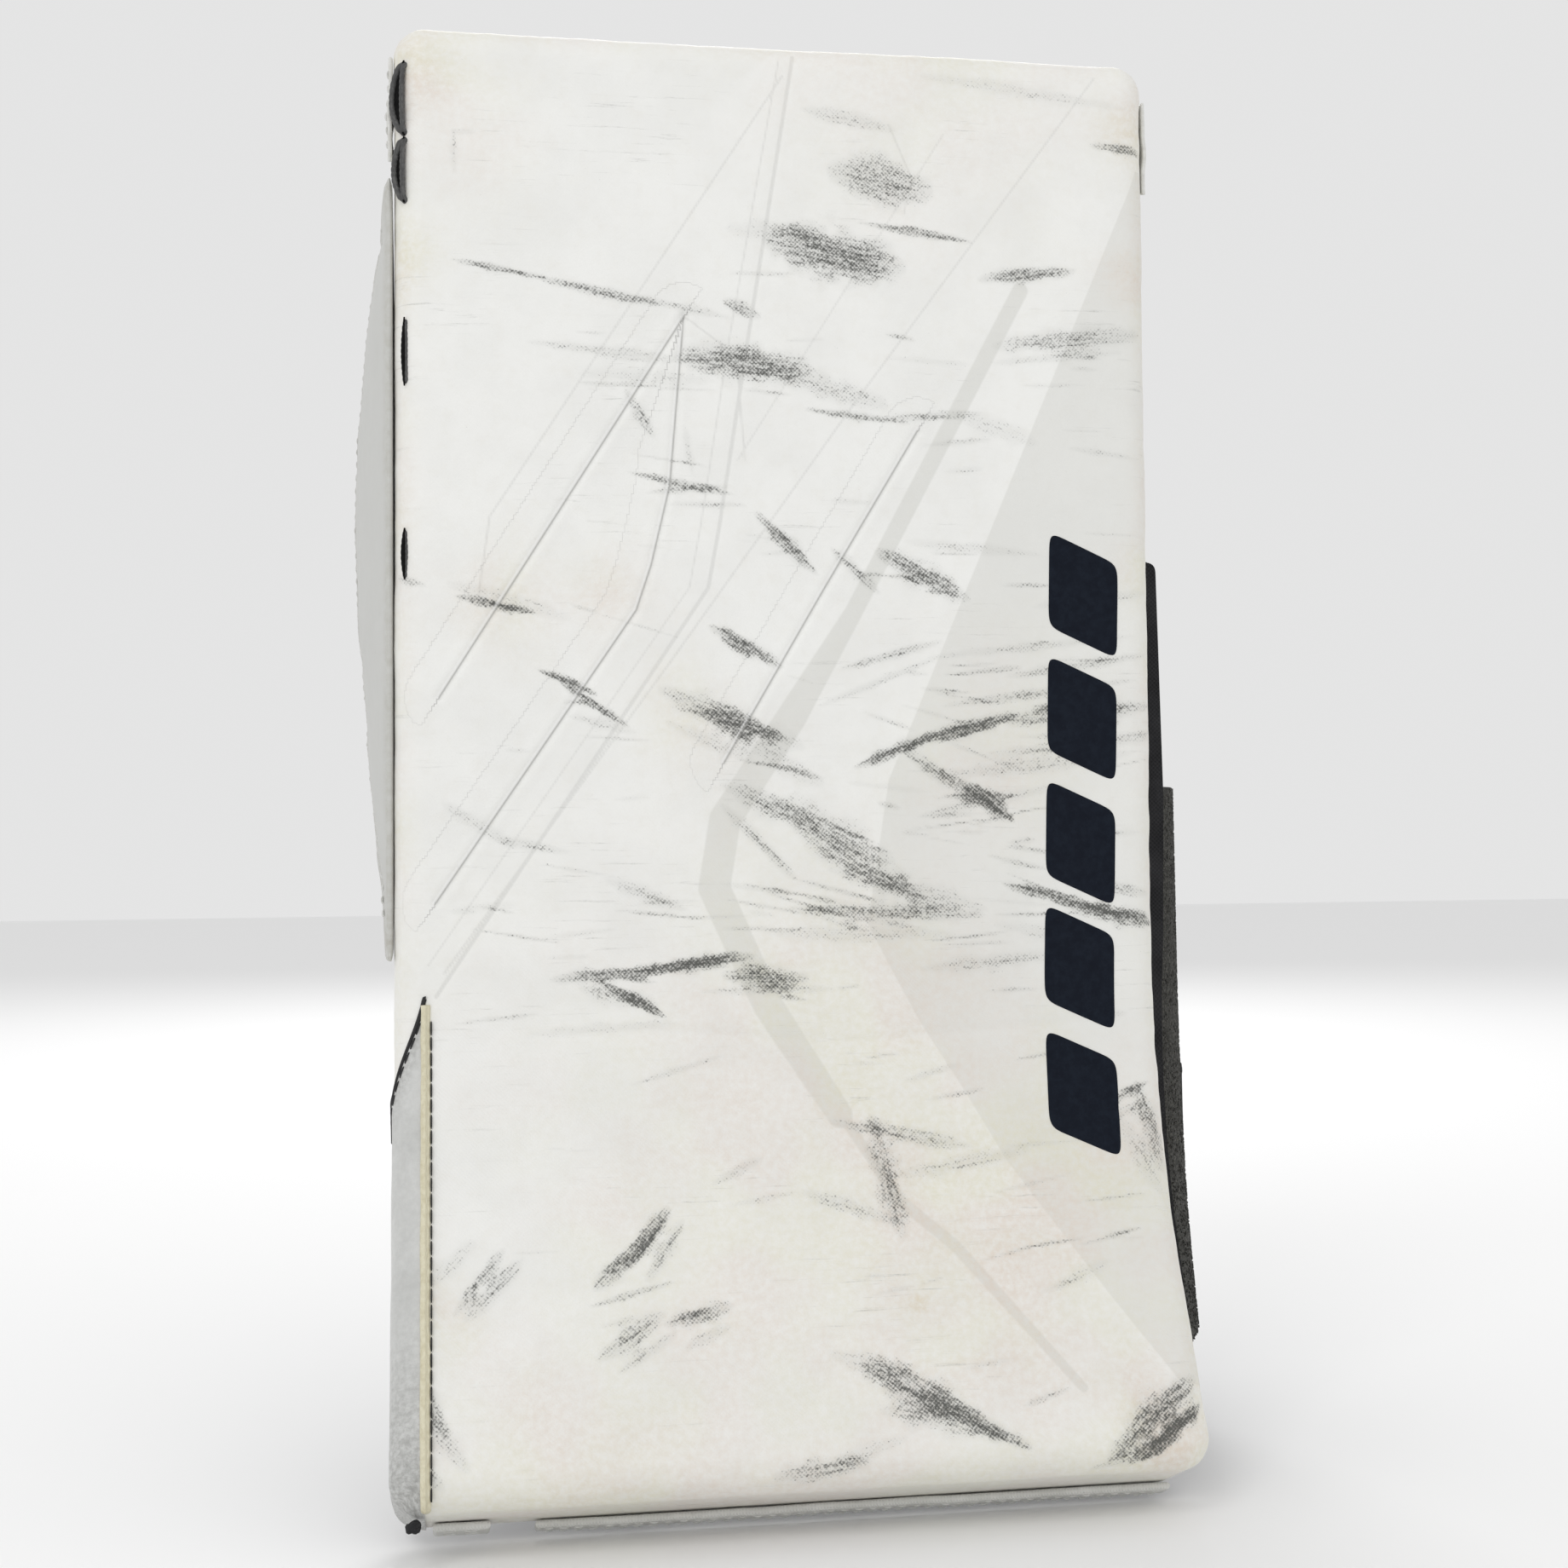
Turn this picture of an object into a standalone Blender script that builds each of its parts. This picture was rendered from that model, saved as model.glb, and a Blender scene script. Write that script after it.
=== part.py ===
"""Goalie blocker: a padded blocking board with a glove, a laced side wrap and a wrist cuff behind it.

World axes: +X towards the little finger, +Y from the blocking face to the hand, +Z towards the finger end.
The origin is in the grip, where the stick's shaft crosses the board's centre line.
Board coordinates are in millimetres: x across, s down along the face from its top edge, d behind the face.
"""

import math

import bmesh
import bpy
from mathutils import Vector

MM = 0.001
GAP = 0.3
TOUCH = 0.001

# Board
BOARD_X = (-101.5, 103.0)
BOARD_S = (-1.8, 377.0)
BOARD_DEPTH = 31.0
CORNER_RADIUS = 8.0
SKIN = 1.5
BEND_STARTS = (245.7, 291.5)
BEND_ANGLES = (math.radians(11.2), math.radians(25.1))
BEND_RUN = 25.0
BEND_STEPS = 3
FACE_FOAM_DEPTH = 13.0
STIFFENER_DEPTH = 2.0
BACK_PANEL = 1.8
SEAM_INSET = 7.7
SIDE_PANEL_TOP = 262.0
PIPING_RADIUS = 1.2

# Side wrap
WRAP_S = (38.5, 243.0)
WRAP_CREST = 118.0
WRAP_FRONT = 5.0
WRAP_LIP = ((-101.3, 2.4), (-100.3, 3.2))
WRAP_FLARE = 0.18
WRAP_EDGE = 1.6
WRAP_SKIN = 1.0
LACE_RADIUS = 1.1
LACE_STITCH = 18.0
LACE_ANGLE = math.radians(37)

# Hand
GRIP_S = 135.0
GRIP_D = 110.0
BASE_PANEL = (BOARD_DEPTH + GAP, BOARD_DEPTH + GAP + 5.0)
HAND_BACK = BASE_PANEL[1] + GAP
HAND_X = (-20.0, 80.0)
PALM_D = 80.0
PALM_THICKNESS = 2.5
GUSSET = 2.0
FINGER_PITCH = 25.0
STALL_RADIUS = 12.0
STALL_WALL = 1.8
KNUCKLE_S = 138.0
KNUCKLE_D = 64.0
KNUCKLE_TILT = math.radians(35)
MIDDLE_BEND = math.radians(65)
PROXIMAL_LENGTH = 46.0
DISTAL_LENGTH = 44.0
KNUCKLE_CLEARANCE = 6.0
BEND_CLEARANCE = 11.0
FINGERS = {"index": 0.95, "middle": 1.05, "ring": 1.0, "little": 0.84}
THUMB_X = -38.0
THUMB_S = 180.0
THUMB_D = 68.0
THUMB_SCALE = 0.9

# Cuff and strap
CUFF_TOP = 198.0
CUFF_BOTTOM = 343.0
CUFF_FLARE = 0.008
CUFF_SKIN = 1.4
CUFF_CORE = 9.0
LITTLE_WALL = (
    (111.0, 37.5), (121.0, 45.0), (126.7, 53.0), (128.7, 64.0), (127.0, 78.0), (122.0, 90.0), (113.5, 99.0),
)
THUMB_WALL = ((-42.0, 37.5), (-47.0, 50.0), (-48.5, 64.0), (-46.0, 80.0))
THUMB_WALL_TOP = 232.0
STRAP_S = (275.0, 313.0)
STRAP_THICKNESS = 2.0
STRAP_PIVOT = (-51.0, 70.0)

COLORS = {
    "face": (0.78, 0.775, 0.74, 0.55, 0.0),
    "foam": (0.55, 0.58, 0.62, 0.9, 0.0),
    "plastic": (0.10, 0.10, 0.11, 0.45, 0.0),
    "nylon": (0.012, 0.012, 0.014, 0.7, 0.0),
    "piping": (0.68, 0.64, 0.47, 0.5, 0.0),
    "binding": (0.82, 0.82, 0.80, 0.6, 0.0),
    "side": (0.62, 0.63, 0.62, 0.55, 0.0),
    "lace": (0.015, 0.015, 0.017, 0.8, 0.0),
    "mesh": (0.10, 0.10, 0.11, 0.85, 0.0),
    "palm": (0.42, 0.40, 0.36, 0.85, 0.0),
    "stall": (0.14, 0.14, 0.15, 0.8, 0.0),
    "loop": (0.065, 0.062, 0.052, 0.95, 0.0),
    "strap": (0.02, 0.02, 0.022, 0.6, 0.0),
    "tab": (0.03, 0.03, 0.03, 0.5, 0.0),
}


# Scene helpers


def clear_scene():
    for obj in list(bpy.data.objects):
        bpy.data.objects.remove(obj, do_unlink=True)


def new_collection(name):
    made = bpy.data.collections.new(name)
    bpy.context.scene.collection.children.link(made)
    return made


def material(kind):
    name = f"{kind}_material"
    found = bpy.data.materials.get(name)
    if found:
        return found
    made = bpy.data.materials.new(name)
    made.use_nodes = True
    shader = made.node_tree.nodes["Principled BSDF"]
    red, green, blue, roughness, metallic = COLORS[kind]
    shader.inputs["Base Color"].default_value = (red, green, blue, 1)
    shader.inputs["Roughness"].default_value = roughness
    shader.inputs["Metallic"].default_value = metallic
    return made


def add_object(name, mesh, kind, parent=None):
    obj = bpy.data.objects.new(name, mesh)
    PARTS.objects.link(obj)
    mesh.materials.clear()
    mesh.materials.append(material(kind))
    mesh.shade_smooth()
    mesh.set_sharp_from_angle(angle=math.radians(35))
    if parent:
        obj.parent = parent
        obj.matrix_parent_inverse = parent.matrix_world.inverted()
    return obj


def add_cutter(name, mesh):
    obj = bpy.data.objects.new(name, mesh)
    CUTTERS.objects.link(obj)
    obj.hide_render = True
    obj.display_type = "WIRE"
    return obj


def joint_empty(name, point):
    """An empty on a joint's axis, which the moving pieces are parented to."""
    empty = bpy.data.objects.new(name, None)
    PARTS.objects.link(empty)
    empty.location = point
    empty.empty_display_size = 0.02
    bpy.context.view_layer.update()
    return empty


def boolean(obj, cutter, operation):
    cut = obj.modifiers.new(cutter.name, "BOOLEAN")
    cut.object = cutter
    cut.operation = operation
    return cut


# The board's bent profile


def bend_angle(s):
    first = min(max((s - BEND_STARTS[0]) / BEND_RUN, 0), 1)
    second = min(max((s - BEND_STARTS[1]) / BEND_RUN, 0), 1)
    return BEND_ANGLES[0] * first + (BEND_ANGLES[1] - BEND_ANGLES[0]) * second


def bend_stations():
    step = BEND_RUN / BEND_STEPS
    return [start + i * step for start in BEND_STARTS for i in range(BEND_STEPS + 1)]


def bend_offset(s):
    """How far the face has come forward and down at s."""
    forward, down, at = 0.0, min(s, 0.0), 0.0
    for station in [*bend_stations(), s]:
        run = min(station, s) - at
        if run <= 0:
            continue
        middle = bend_angle(at + run / 2)
        forward += run * math.sin(middle)
        down += run * math.cos(middle)
        at += run
    return forward, down


def bent(x, s, d):
    """The world point at x, s and d on the bent board."""
    forward, down = bend_offset(s)
    angle = bend_angle(s)
    y = -GRIP_D - forward + d * math.cos(angle)
    z = GRIP_S - down - d * math.sin(angle)
    return Vector((x, y, z)) * MM


def cuff_point(x, s, d):
    """Follows the bent board at the base panel and stands straight further back, flaring at the little finger."""
    base = bent(x, s, HAND_BACK)
    straight = min(max((d - HAND_BACK) / 24.0, 0), 1)
    y = (base.y / MM + d - HAND_BACK) * (1 - straight) + (d - GRIP_D) * straight
    flare = min(max((x - 60.0) / 60.0, 0), 1) * CUFF_FLARE * (s - CUFF_TOP)
    return Vector((x + flare, y, base.z / MM)) * MM


def flat(x, s, d):
    """The world point without the board's bend."""
    return Vector((x, d - GRIP_D, GRIP_S - s)) * MM


def split_at_bends(bm, place):
    if place is flat:
        return
    for station in bend_stations():
        geometry = bm.verts[:] + bm.edges[:] + bm.faces[:]
        bmesh.ops.bisect_plane(bm, geom=geometry, plane_co=(0, station, 0), plane_no=(0, 1, 0), dist=1e-4)


def finish_mesh(bm, name, place):
    split_at_bends(bm, place)
    for vertex in bm.verts:
        vertex.co = place(*vertex.co)
    mesh = bpy.data.meshes.new(name)
    bm.to_mesh(mesh)
    bm.free()
    return mesh


# Shapes


def block_mesh(name, x, s, d, place=bent, front=0.0, back=0.0, corners=0.0, segments=2, open_back=False):
    """A box in board coordinates, with rounded corners and rounded front and back rims."""
    bm = bmesh.new()
    bmesh.ops.create_cube(bm, size=1)
    low, high = Vector((x[0], s[0], d[0])), Vector((x[1], s[1], d[1]))
    for vertex in bm.verts:
        vertex.co = [a + (b - a) * (c + 0.5) for a, b, c in zip(low, high, vertex.co)]

    def edges(test):
        return [e for e in bm.edges if all(test(v.co) for v in e.verts)]

    def rounding(chosen, width):
        if width > 0:
            bmesh.ops.bevel(bm, geom=chosen, offset=width, segments=segments, profile=0.5, affect="EDGES")

    upright = [e for e in bm.edges if abs(e.verts[0].co.z - e.verts[1].co.z) > TOUCH]
    if corners and corners == front and not back:
        rounding(upright + edges(lambda p: p.z < d[0] + TOUCH), corners)
    else:
        rounding(upright, corners)
        rounding(edges(lambda p: p.z < d[0] + TOUCH), front)
        rounding(edges(lambda p: p.z > d[1] - TOUCH), back)
    if open_back:
        bmesh.ops.delete(bm, geom=[f for f in bm.faces if f.calc_center_median().z > d[1] - TOUCH], context="FACES")
    return finish_mesh(bm, name, place)


def block(name, kind, x, s, d, parent=None, **shape):
    return add_object(name, block_mesh(name, x, s, d, **shape), kind, parent)


def outline_plate(name, kind, points, d, place=bent):
    """A plate cut from a 2D outline, given as x, s points with a corner radius each."""
    curve = bpy.data.curves.new(name, "CURVE")
    curve.dimensions = "2D"
    curve.fill_mode = "BOTH"
    curve.extrude = (d[1] - d[0]) / 2
    rim = rounded_outline(points)
    spline = curve.splines.new("POLY")
    spline.points.add(len(rim) - 1)
    for point, (x, s) in zip(spline.points, rim):
        point.co = (x, s, 0, 1)
    spline.use_cyclic_u = True
    drawn = bpy.data.objects.new(name + "_outline", curve)
    PARTS.objects.link(drawn)
    graph = bpy.context.evaluated_depsgraph_get()
    mesh = bpy.data.meshes.new_from_object(drawn.evaluated_get(graph))
    bpy.data.objects.remove(drawn)
    bm = bmesh.new()
    bm.from_mesh(mesh)
    bpy.data.meshes.remove(mesh)
    bmesh.ops.remove_doubles(bm, verts=bm.verts[:], dist=1e-4)
    bmesh.ops.dissolve_limit(bm, angle_limit=0.01, verts=bm.verts[:], edges=bm.edges[:])
    middle = (d[0] + d[1]) / 2
    for vertex in bm.verts:
        vertex.co.z += middle
    bmesh.ops.recalc_face_normals(bm, faces=bm.faces[:])
    return add_object(name, finish_mesh(bm, name, place), kind)


def rounded_outline(points, steps=3):
    rim = []
    for i, (x, s, radius) in enumerate(points):
        here = Vector((x, s))
        before = (Vector(points[i - 1][:2]) - here).normalized()
        after = (Vector(points[(i + 1) % len(points)][:2]) - here).normalized()
        if radius == 0:
            rim.append((x, s))
            continue
        half = before.angle(after) / 2
        reach = radius / math.tan(half)
        middle = here + (before + after).normalized() * radius / math.sin(half)
        start, end = here + before * reach - middle, here + after * reach - middle
        for step in range(steps + 1):
            turned = start.normalized().slerp(end.normalized(), step / steps)
            rim.append(tuple(middle + turned * radius))
    return rim


def loft(name, kind, sections, parent=None):
    """A closed solid through matching cross-sections."""
    bm = bmesh.new()
    rings = [[bm.verts.new(point) for point in section] for section in sections]
    count = len(rings[0])
    for ring, following in zip(rings, rings[1:]):
        for i in range(count):
            j = (i + 1) % count
            bm.faces.new((ring[i], ring[j], following[j], following[i]))
    bm.faces.new(rings[0])
    bm.faces.new(rings[-1][::-1])
    bmesh.ops.recalc_face_normals(bm, faces=bm.faces[:])
    mesh = bpy.data.meshes.new(name)
    bm.to_mesh(mesh)
    bm.free()
    return add_object(name, mesh, kind, parent)


def tube(name, kind, points, radius, parent=None, bevel_resolution=2):
    curve = bpy.data.curves.new(name, "CURVE")
    curve.dimensions = "3D"
    curve.bevel_depth = radius * MM
    curve.bevel_resolution = bevel_resolution
    curve.use_fill_caps = True
    spline = curve.splines.new("POLY")
    spline.points.add(len(points) - 1)
    for place, point in zip(spline.points, points):
        place.co = (*point, 1)
    obj = bpy.data.objects.new(name, curve)
    PARTS.objects.link(obj)
    curve.materials.append(material(kind))
    return obj


def smooth_path(points, steps=3):
    """A Catmull-Rom curve through the points."""
    ends = [Vector(p) for p in (points[0], *points, points[-1])]
    path = []
    for a, b, c, d in zip(ends, ends[1:], ends[2:], ends[3:]):
        for step in range(steps):
            t = step / steps
            path.append(0.5 * (2 * b + (c - a) * t + (2 * a - 5 * b + 4 * c - d) * t**2 + (3 * b - a - 3 * c + d) * t**3))
    return [*path, ends[-1]]


def offset_path(path, distance):
    """The path moved sideways, to its left as it runs."""
    moved = []
    for i, point in enumerate(path):
        along = path[min(i + 1, len(path) - 1)] - path[max(i - 1, 0)]
        moved.append(point + Vector((-along.y, along.x)).normalized() * distance)
    return moved


def strip(name, kind, path, near, far, s, place=cuff_point, parent=None, stations=None):
    """A layer between two offsets of a path in x and d, running from s[0] to s[1]."""
    inner, outer = offset_path(path, near), offset_path(path, far)
    stops = sorted({s[0], s[1], *(stations or [v for v in bend_stations() if s[0] < v < s[1]])})
    sections = [[place(p.x, stop, p.y) for p in inner + outer[::-1]] for stop in stops]
    return loft(name, kind, sections, parent)


# The board


def cover_shell(name):
    return block_mesh(
        name, BOARD_X, BOARD_S, (0, BOARD_DEPTH - BACK_PANEL - GAP),
        front=CORNER_RADIUS, corners=CORNER_RADIUS, segments=3, open_back=True,
    )


def thicken(obj):
    skin = obj.modifiers.new("skin", "SOLIDIFY")
    skin.thickness = SKIN * MM
    skin.offset = -1
    skin.use_even_offset = True


def board_cover():
    """The face skin rolls over all four sides, and is cut back at the lower left for the side panel."""
    face = add_object("face_skin", cover_shell("face_skin"), "face")
    thicken(face)
    seam = BOARD_X[0] + SEAM_INSET
    depth = (-5.0, BOARD_DEPTH + 5.0)
    low = (SIDE_PANEL_TOP, BOARD_S[1] + 5.0)
    window = add_cutter("side_window", block_mesh("side_window", (BOARD_X[0] - 5, seam), low, depth))
    boolean(face, window, "DIFFERENCE")

    side = add_object("side_panel_lower", cover_shell("side_panel_lower"), "side")
    thicken(side)
    low = (SIDE_PANEL_TOP + GAP, BOARD_S[1] + 5.0)
    keep = add_cutter("side_keep", block_mesh("side_keep", (BOARD_X[0] - 5, seam - GAP), low, depth))
    boolean(side, keep, "INTERSECT")

    seam_x = seam - GAP / 2
    stops = [SIDE_PANEL_TOP - 8, *[v for v in bend_stations() if v > SIDE_PANEL_TOP - 4], BOARD_S[1] - 2]
    tube("edge_piping", "piping", [bent(seam_x, s, -PIPING_RADIUS - 0.35) for s in stops], PIPING_RADIUS)


def board_layers():
    inset = SKIN + GAP
    x = (BOARD_X[0] + inset, BOARD_X[1] - inset)
    s = (BOARD_S[0] + inset, BOARD_S[1] - inset)
    radius = CORNER_RADIUS - inset
    front = inset
    back = front + FACE_FOAM_DEPTH
    block("face_foam", "foam", x, s, (front, back), front=radius, corners=radius, segments=3)
    front = back + GAP
    back = front + STIFFENER_DEPTH
    block("stiffener_sheet", "plastic", x, s, (front, back), corners=radius, segments=3)
    front = back + GAP
    back = BOARD_DEPTH - BACK_PANEL - GAP
    block("rear_foam", "foam", x, s, (front, back), corners=radius, segments=3)
    x = (BOARD_X[0] + GAP, BOARD_X[1] - GAP)
    s = (BOARD_S[0] + GAP, BOARD_S[1] - GAP)
    block("back_panel", "nylon", x, s, (BOARD_DEPTH - BACK_PANEL, BOARD_DEPTH), corners=CORNER_RADIUS, segments=3)


def board_trim():
    low = (BOARD_S[1] + GAP, BOARD_S[1] + GAP + 2.2)
    block("bottom_binding", "binding", (-67.0, 97.0), low, (BOARD_DEPTH - 7.0, BOARD_DEPTH))
    block("bottom_tab", "binding", (-92.0, -78.0), low, (BOARD_DEPTH - 12.0, BOARD_DEPTH - 2.0))
    for name, wall, outward, s in (
        ("corner_cap_left", BOARD_X[0], -1, (6.0, 34.0)),
        ("corner_cap_right", BOARD_X[1], 1, (8.0, 34.0)),
    ):
        x = sorted((wall + outward * GAP, wall + outward * (GAP + 1.0)))
        block(name, "face", x, s, (6.0, 27.0))


# The side wrap, laced to the board's thumb side


def wrap_reach(s):
    """How far the wrap runs back from the crease at s."""
    end = WRAP_S[0] if s < WRAP_CREST else WRAP_S[1]
    t = (s - end) / (WRAP_CREST - end)
    return 5.0 + 52.0 * math.sin(t * math.pi / 2) ** 1.35


def wrap_outer(q):
    return BOARD_X[0] - GAP - WRAP_EDGE - WRAP_FLARE * q


def wrap_inner(q):
    return BOARD_X[0] - GAP - 0.12 * max(q - (BOARD_DEPTH - WRAP_FRONT), 0)


def wrap_layer(name, kind, s, start, end_inset, outside, inside, parent, lip=()):
    """One layer of the wrap; outside and inside give x at a distance q behind the crease."""
    count, steps = 12, 5
    sections = []
    for i in range(count + 1):
        stop = s[0] + (s[1] - s[0]) * i / count
        end = wrap_reach(stop) - end_inset
        reach = [start + (end - start) * k / steps for k in range(steps + 1)]
        outer = [(outside(q), WRAP_FRONT + q) for q in reach]
        inner = [(inside(q), WRAP_FRONT + q) for q in reach]
        section = [*lip[:1], *outer, *inner[::-1], *lip[1:]]
        sections.append([flat(x, stop, d) for x, d in section])
    return loft(name, kind, sections, parent)


def side_wrap():
    crease = joint_empty("side_wrap_joint", flat(-100.8, GRIP_S, 2.8))
    wrap_layer(
        "wrap_outer_skin", "face", WRAP_S, 0.0, 0.0, wrap_outer, lambda q: wrap_outer(q) + WRAP_SKIN, crease,
        lip=WRAP_LIP,
    )
    wrap_layer(
        "wrap_lining", "mesh", (42.0, 238.0), 4.0, 0.5, lambda q: wrap_inner(q) - WRAP_SKIN, wrap_inner, crease
    )
    wrap_layer(
        "wrap_core", "foam", (60.0, 206.0), 12.0, 1.5,
        lambda q: wrap_outer(q) + WRAP_SKIN + GAP, lambda q: wrap_inner(q) - WRAP_SKIN - 2 * GAP, crease,
    )
    points = []
    count = int((WRAP_S[1] - WRAP_S[0]) / (LACE_STITCH / 6))
    for i in range(count + 1):
        s = WRAP_S[0] + (WRAP_S[1] - WRAP_S[0]) * i / count
        swing = math.sin(math.pi * (s - WRAP_S[0]) / LACE_STITCH) ** 2
        out = CORNER_RADIUS + GAP + LACE_RADIUS + 0.1 + 0.5 * swing
        x = BOARD_X[0] + CORNER_RADIUS - out * math.sin(LACE_ANGLE)
        points.append(flat(x, s, CORNER_RADIUS - out * math.cos(LACE_ANGLE)))
    tube("wrap_lace", "lace", points, LACE_RADIUS, bevel_resolution=1)
    knot = bent(BOARD_X[0] + 5.0, BOARD_S[1] + 2.6, 6.0)
    bm = bmesh.new()
    bmesh.ops.create_icosphere(bm, subdivisions=1, radius=2.0 * MM)
    bmesh.ops.translate(bm, vec=knot, verts=bm.verts[:])
    mesh = bpy.data.meshes.new("lace_knot")
    bm.to_mesh(mesh)
    bm.free()
    add_object("lace_knot", mesh, "lace")


# The glove behind the board


def hand_base():
    outline = (
        (-62.0, 100.0, 12.0), (84.0, 100.0, 12.0), (84.0, 133.4, 0.0), (114.6, 133.4, 3.0), (116.0, 200.0, 0.0),
        (115.3, 242.0, 0.0), (113.3, 276.0, 0.0), (112.0, CUFF_BOTTOM, 6.0), (-62.0, CUFF_BOTTOM, 12.0),
    )
    outline_plate("hand_base_panel", "nylon", outline, BASE_PANEL)
    d = (HAND_BACK, 50.0)
    block("hand_pad", "mesh", HAND_X, (142.0, 242.0), d, back=5.0, corners=6.0)
    block("knuckle_pad", "mesh", HAND_X, (106.0, 141.7), (HAND_BACK, 49.0), back=5.0, corners=6.0)
    block("little_finger_guard", "nylon", (88.0, 113.5), (141.0, 197.5), (HAND_BACK, 47.0), back=4.0, corners=5.0)
    block("thumb_guard", "nylon", (-56.0, -23.0), (108.0, 200.0), (HAND_BACK, 47.0), back=4.0, corners=8.0)
    block("wrist_pad", "mesh", (-30.0, 97.0), (246.0, 336.0), (HAND_BACK, 43.0), corners=8.0)


def palm():
    d = (PALM_D, PALM_D + PALM_THICKNESS)
    outline = (
        (HAND_X[0], 190.0, 0.0), (-6.0, 146.0, 8.0), (HAND_X[1], 146.0, 8.0), (HAND_X[1], 262.0, 10.0),
        (HAND_X[0], 262.0, 10.0),
    )
    outline_plate("palm_panel", "palm", outline, d, place=flat)
    patch = ((4.0, 152.0, 8.0), (74.0, 152.0, 8.0), (74.0, 200.0, 10.0), (-4.0, 214.0, 12.0))
    outline_plate("palm_patch", "stall", patch, (d[1] + GAP, d[1] + GAP + 1.2), place=flat)
    side = (50.0 + GAP, PALM_D + PALM_THICKNESS)
    x = HAND_X[1] + GAP
    block("gusset_little", "mesh", (x, x + GUSSET), (148.0, 242.0), side, place=flat)
    x = HAND_X[0] - GAP
    block("gusset_thumb", "mesh", (x - GUSSET, x), (204.0, 242.0), side, place=flat)


def screw_tube(name, kind, profile, closed, at, tilt, parent):
    """Turns a profile of radius and height about the stall's own axis, and stands it at a tilt from +Z towards +Y."""
    bm = bmesh.new()
    points = [bm.verts.new((r * MM, 0, h * MM)) for r, h in profile]
    for a, b in zip(points, points[1:]):
        bm.edges.new((a, b))
    if closed:
        bm.edges.new((points[-1], points[0]))
    mesh = bpy.data.meshes.new(name)
    bm.to_mesh(mesh)
    bm.free()
    obj = add_object(name, mesh, kind)
    obj.location = at
    obj.rotation_euler = (-tilt, 0, 0)
    bpy.context.view_layer.update()
    obj.parent = parent
    obj.matrix_parent_inverse = parent.matrix_world.inverted()
    turn = obj.modifiers.new("turn", "SCREW")
    turn.axis = "Z"
    turn.steps = turn.render_steps = 12
    turn.use_merge_vertices = True
    turn.merge_threshold = 0.00005
    return obj


def finger(name, x, s, d, scale, tilt, bend, radius=STALL_RADIUS):
    """A stall in two hollow lengths, with a joint at the knuckle and one at the middle."""
    knuckle = flat(x, s, d)
    first = Vector((0, math.sin(tilt), math.cos(tilt)))
    second = Vector((0, math.sin(tilt + bend), math.cos(tilt + bend)))
    proximal, distal = PROXIMAL_LENGTH * scale, DISTAL_LENGTH * scale
    middle = knuckle + first * proximal * MM
    knuckle_joint = joint_empty(f"{name}_knuckle_joint", knuckle)
    middle_joint = joint_empty(f"{name}_middle_joint", middle)
    middle_joint.parent = knuckle_joint
    middle_joint.matrix_parent_inverse = knuckle_joint.matrix_world.inverted()
    inside = radius - STALL_WALL
    length = proximal - KNUCKLE_CLEARANCE - BEND_CLEARANCE
    ring = ((radius, length), (radius, 0), (inside, 0), (inside, length))
    at = knuckle + first * KNUCKLE_CLEARANCE * MM
    screw_tube(f"{name}_stall_proximal", "stall", ring, True, at, tilt, knuckle_joint)
    length = distal - BEND_CLEARANCE
    tip = [(radius * math.sin(a), length - radius + radius * math.cos(a)) for a in (0, 0.52, 1.05, math.pi / 2)]
    hollow = [(inside * math.sin(a), length - radius + inside * math.cos(a)) for a in (math.pi / 2, 1.05, 0.52, 0)]
    profile = [*tip, (radius, 0), (inside, 0), *hollow]
    at = middle + second * BEND_CLEARANCE * MM
    screw_tube(f"{name}_stall_distal", "stall", profile, False, at, tilt + bend, middle_joint)


def fingers():
    centre = sum(HAND_X) / 2
    for i, (name, scale) in enumerate(FINGERS.items()):
        x = centre + (i - (len(FINGERS) - 1) / 2) * FINGER_PITCH
        finger(name, x, KNUCKLE_S, KNUCKLE_D, scale, KNUCKLE_TILT, MIDDLE_BEND)
    finger("thumb", THUMB_X, THUMB_S, THUMB_D, THUMB_SCALE, math.radians(22), math.radians(35))


# The cuff and its strap


def cuff():
    wall = smooth_path(LITTLE_WALL, 2)
    s = (CUFF_TOP, CUFF_BOTTOM)
    edge = CUFF_SKIN + GAP
    strip("cuff_loop_cover", "loop", wall, 0.0, CUFF_SKIN, s)
    strip("cuff_little_core", "foam", wall, edge, edge + CUFF_CORE, (s[0] + 1, s[1] - 1))
    lining = edge + CUFF_CORE + GAP
    strip("cuff_little_lining", "mesh", wall, lining, lining + 1.0, s)
    wall = smooth_path(THUMB_WALL, 2)
    s = (THUMB_WALL_TOP, CUFF_BOTTOM)
    strip("cuff_thumb_cover", "nylon", wall, -CUFF_SKIN, 0.0, s)
    strip("cuff_thumb_core", "foam", wall, -edge - CUFF_CORE, -edge, (s[0] + 1, s[1] - 1))
    lining = edge + CUFF_CORE + GAP
    strip("cuff_thumb_lining", "mesh", wall, -lining - 1.0, -lining, s)


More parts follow.
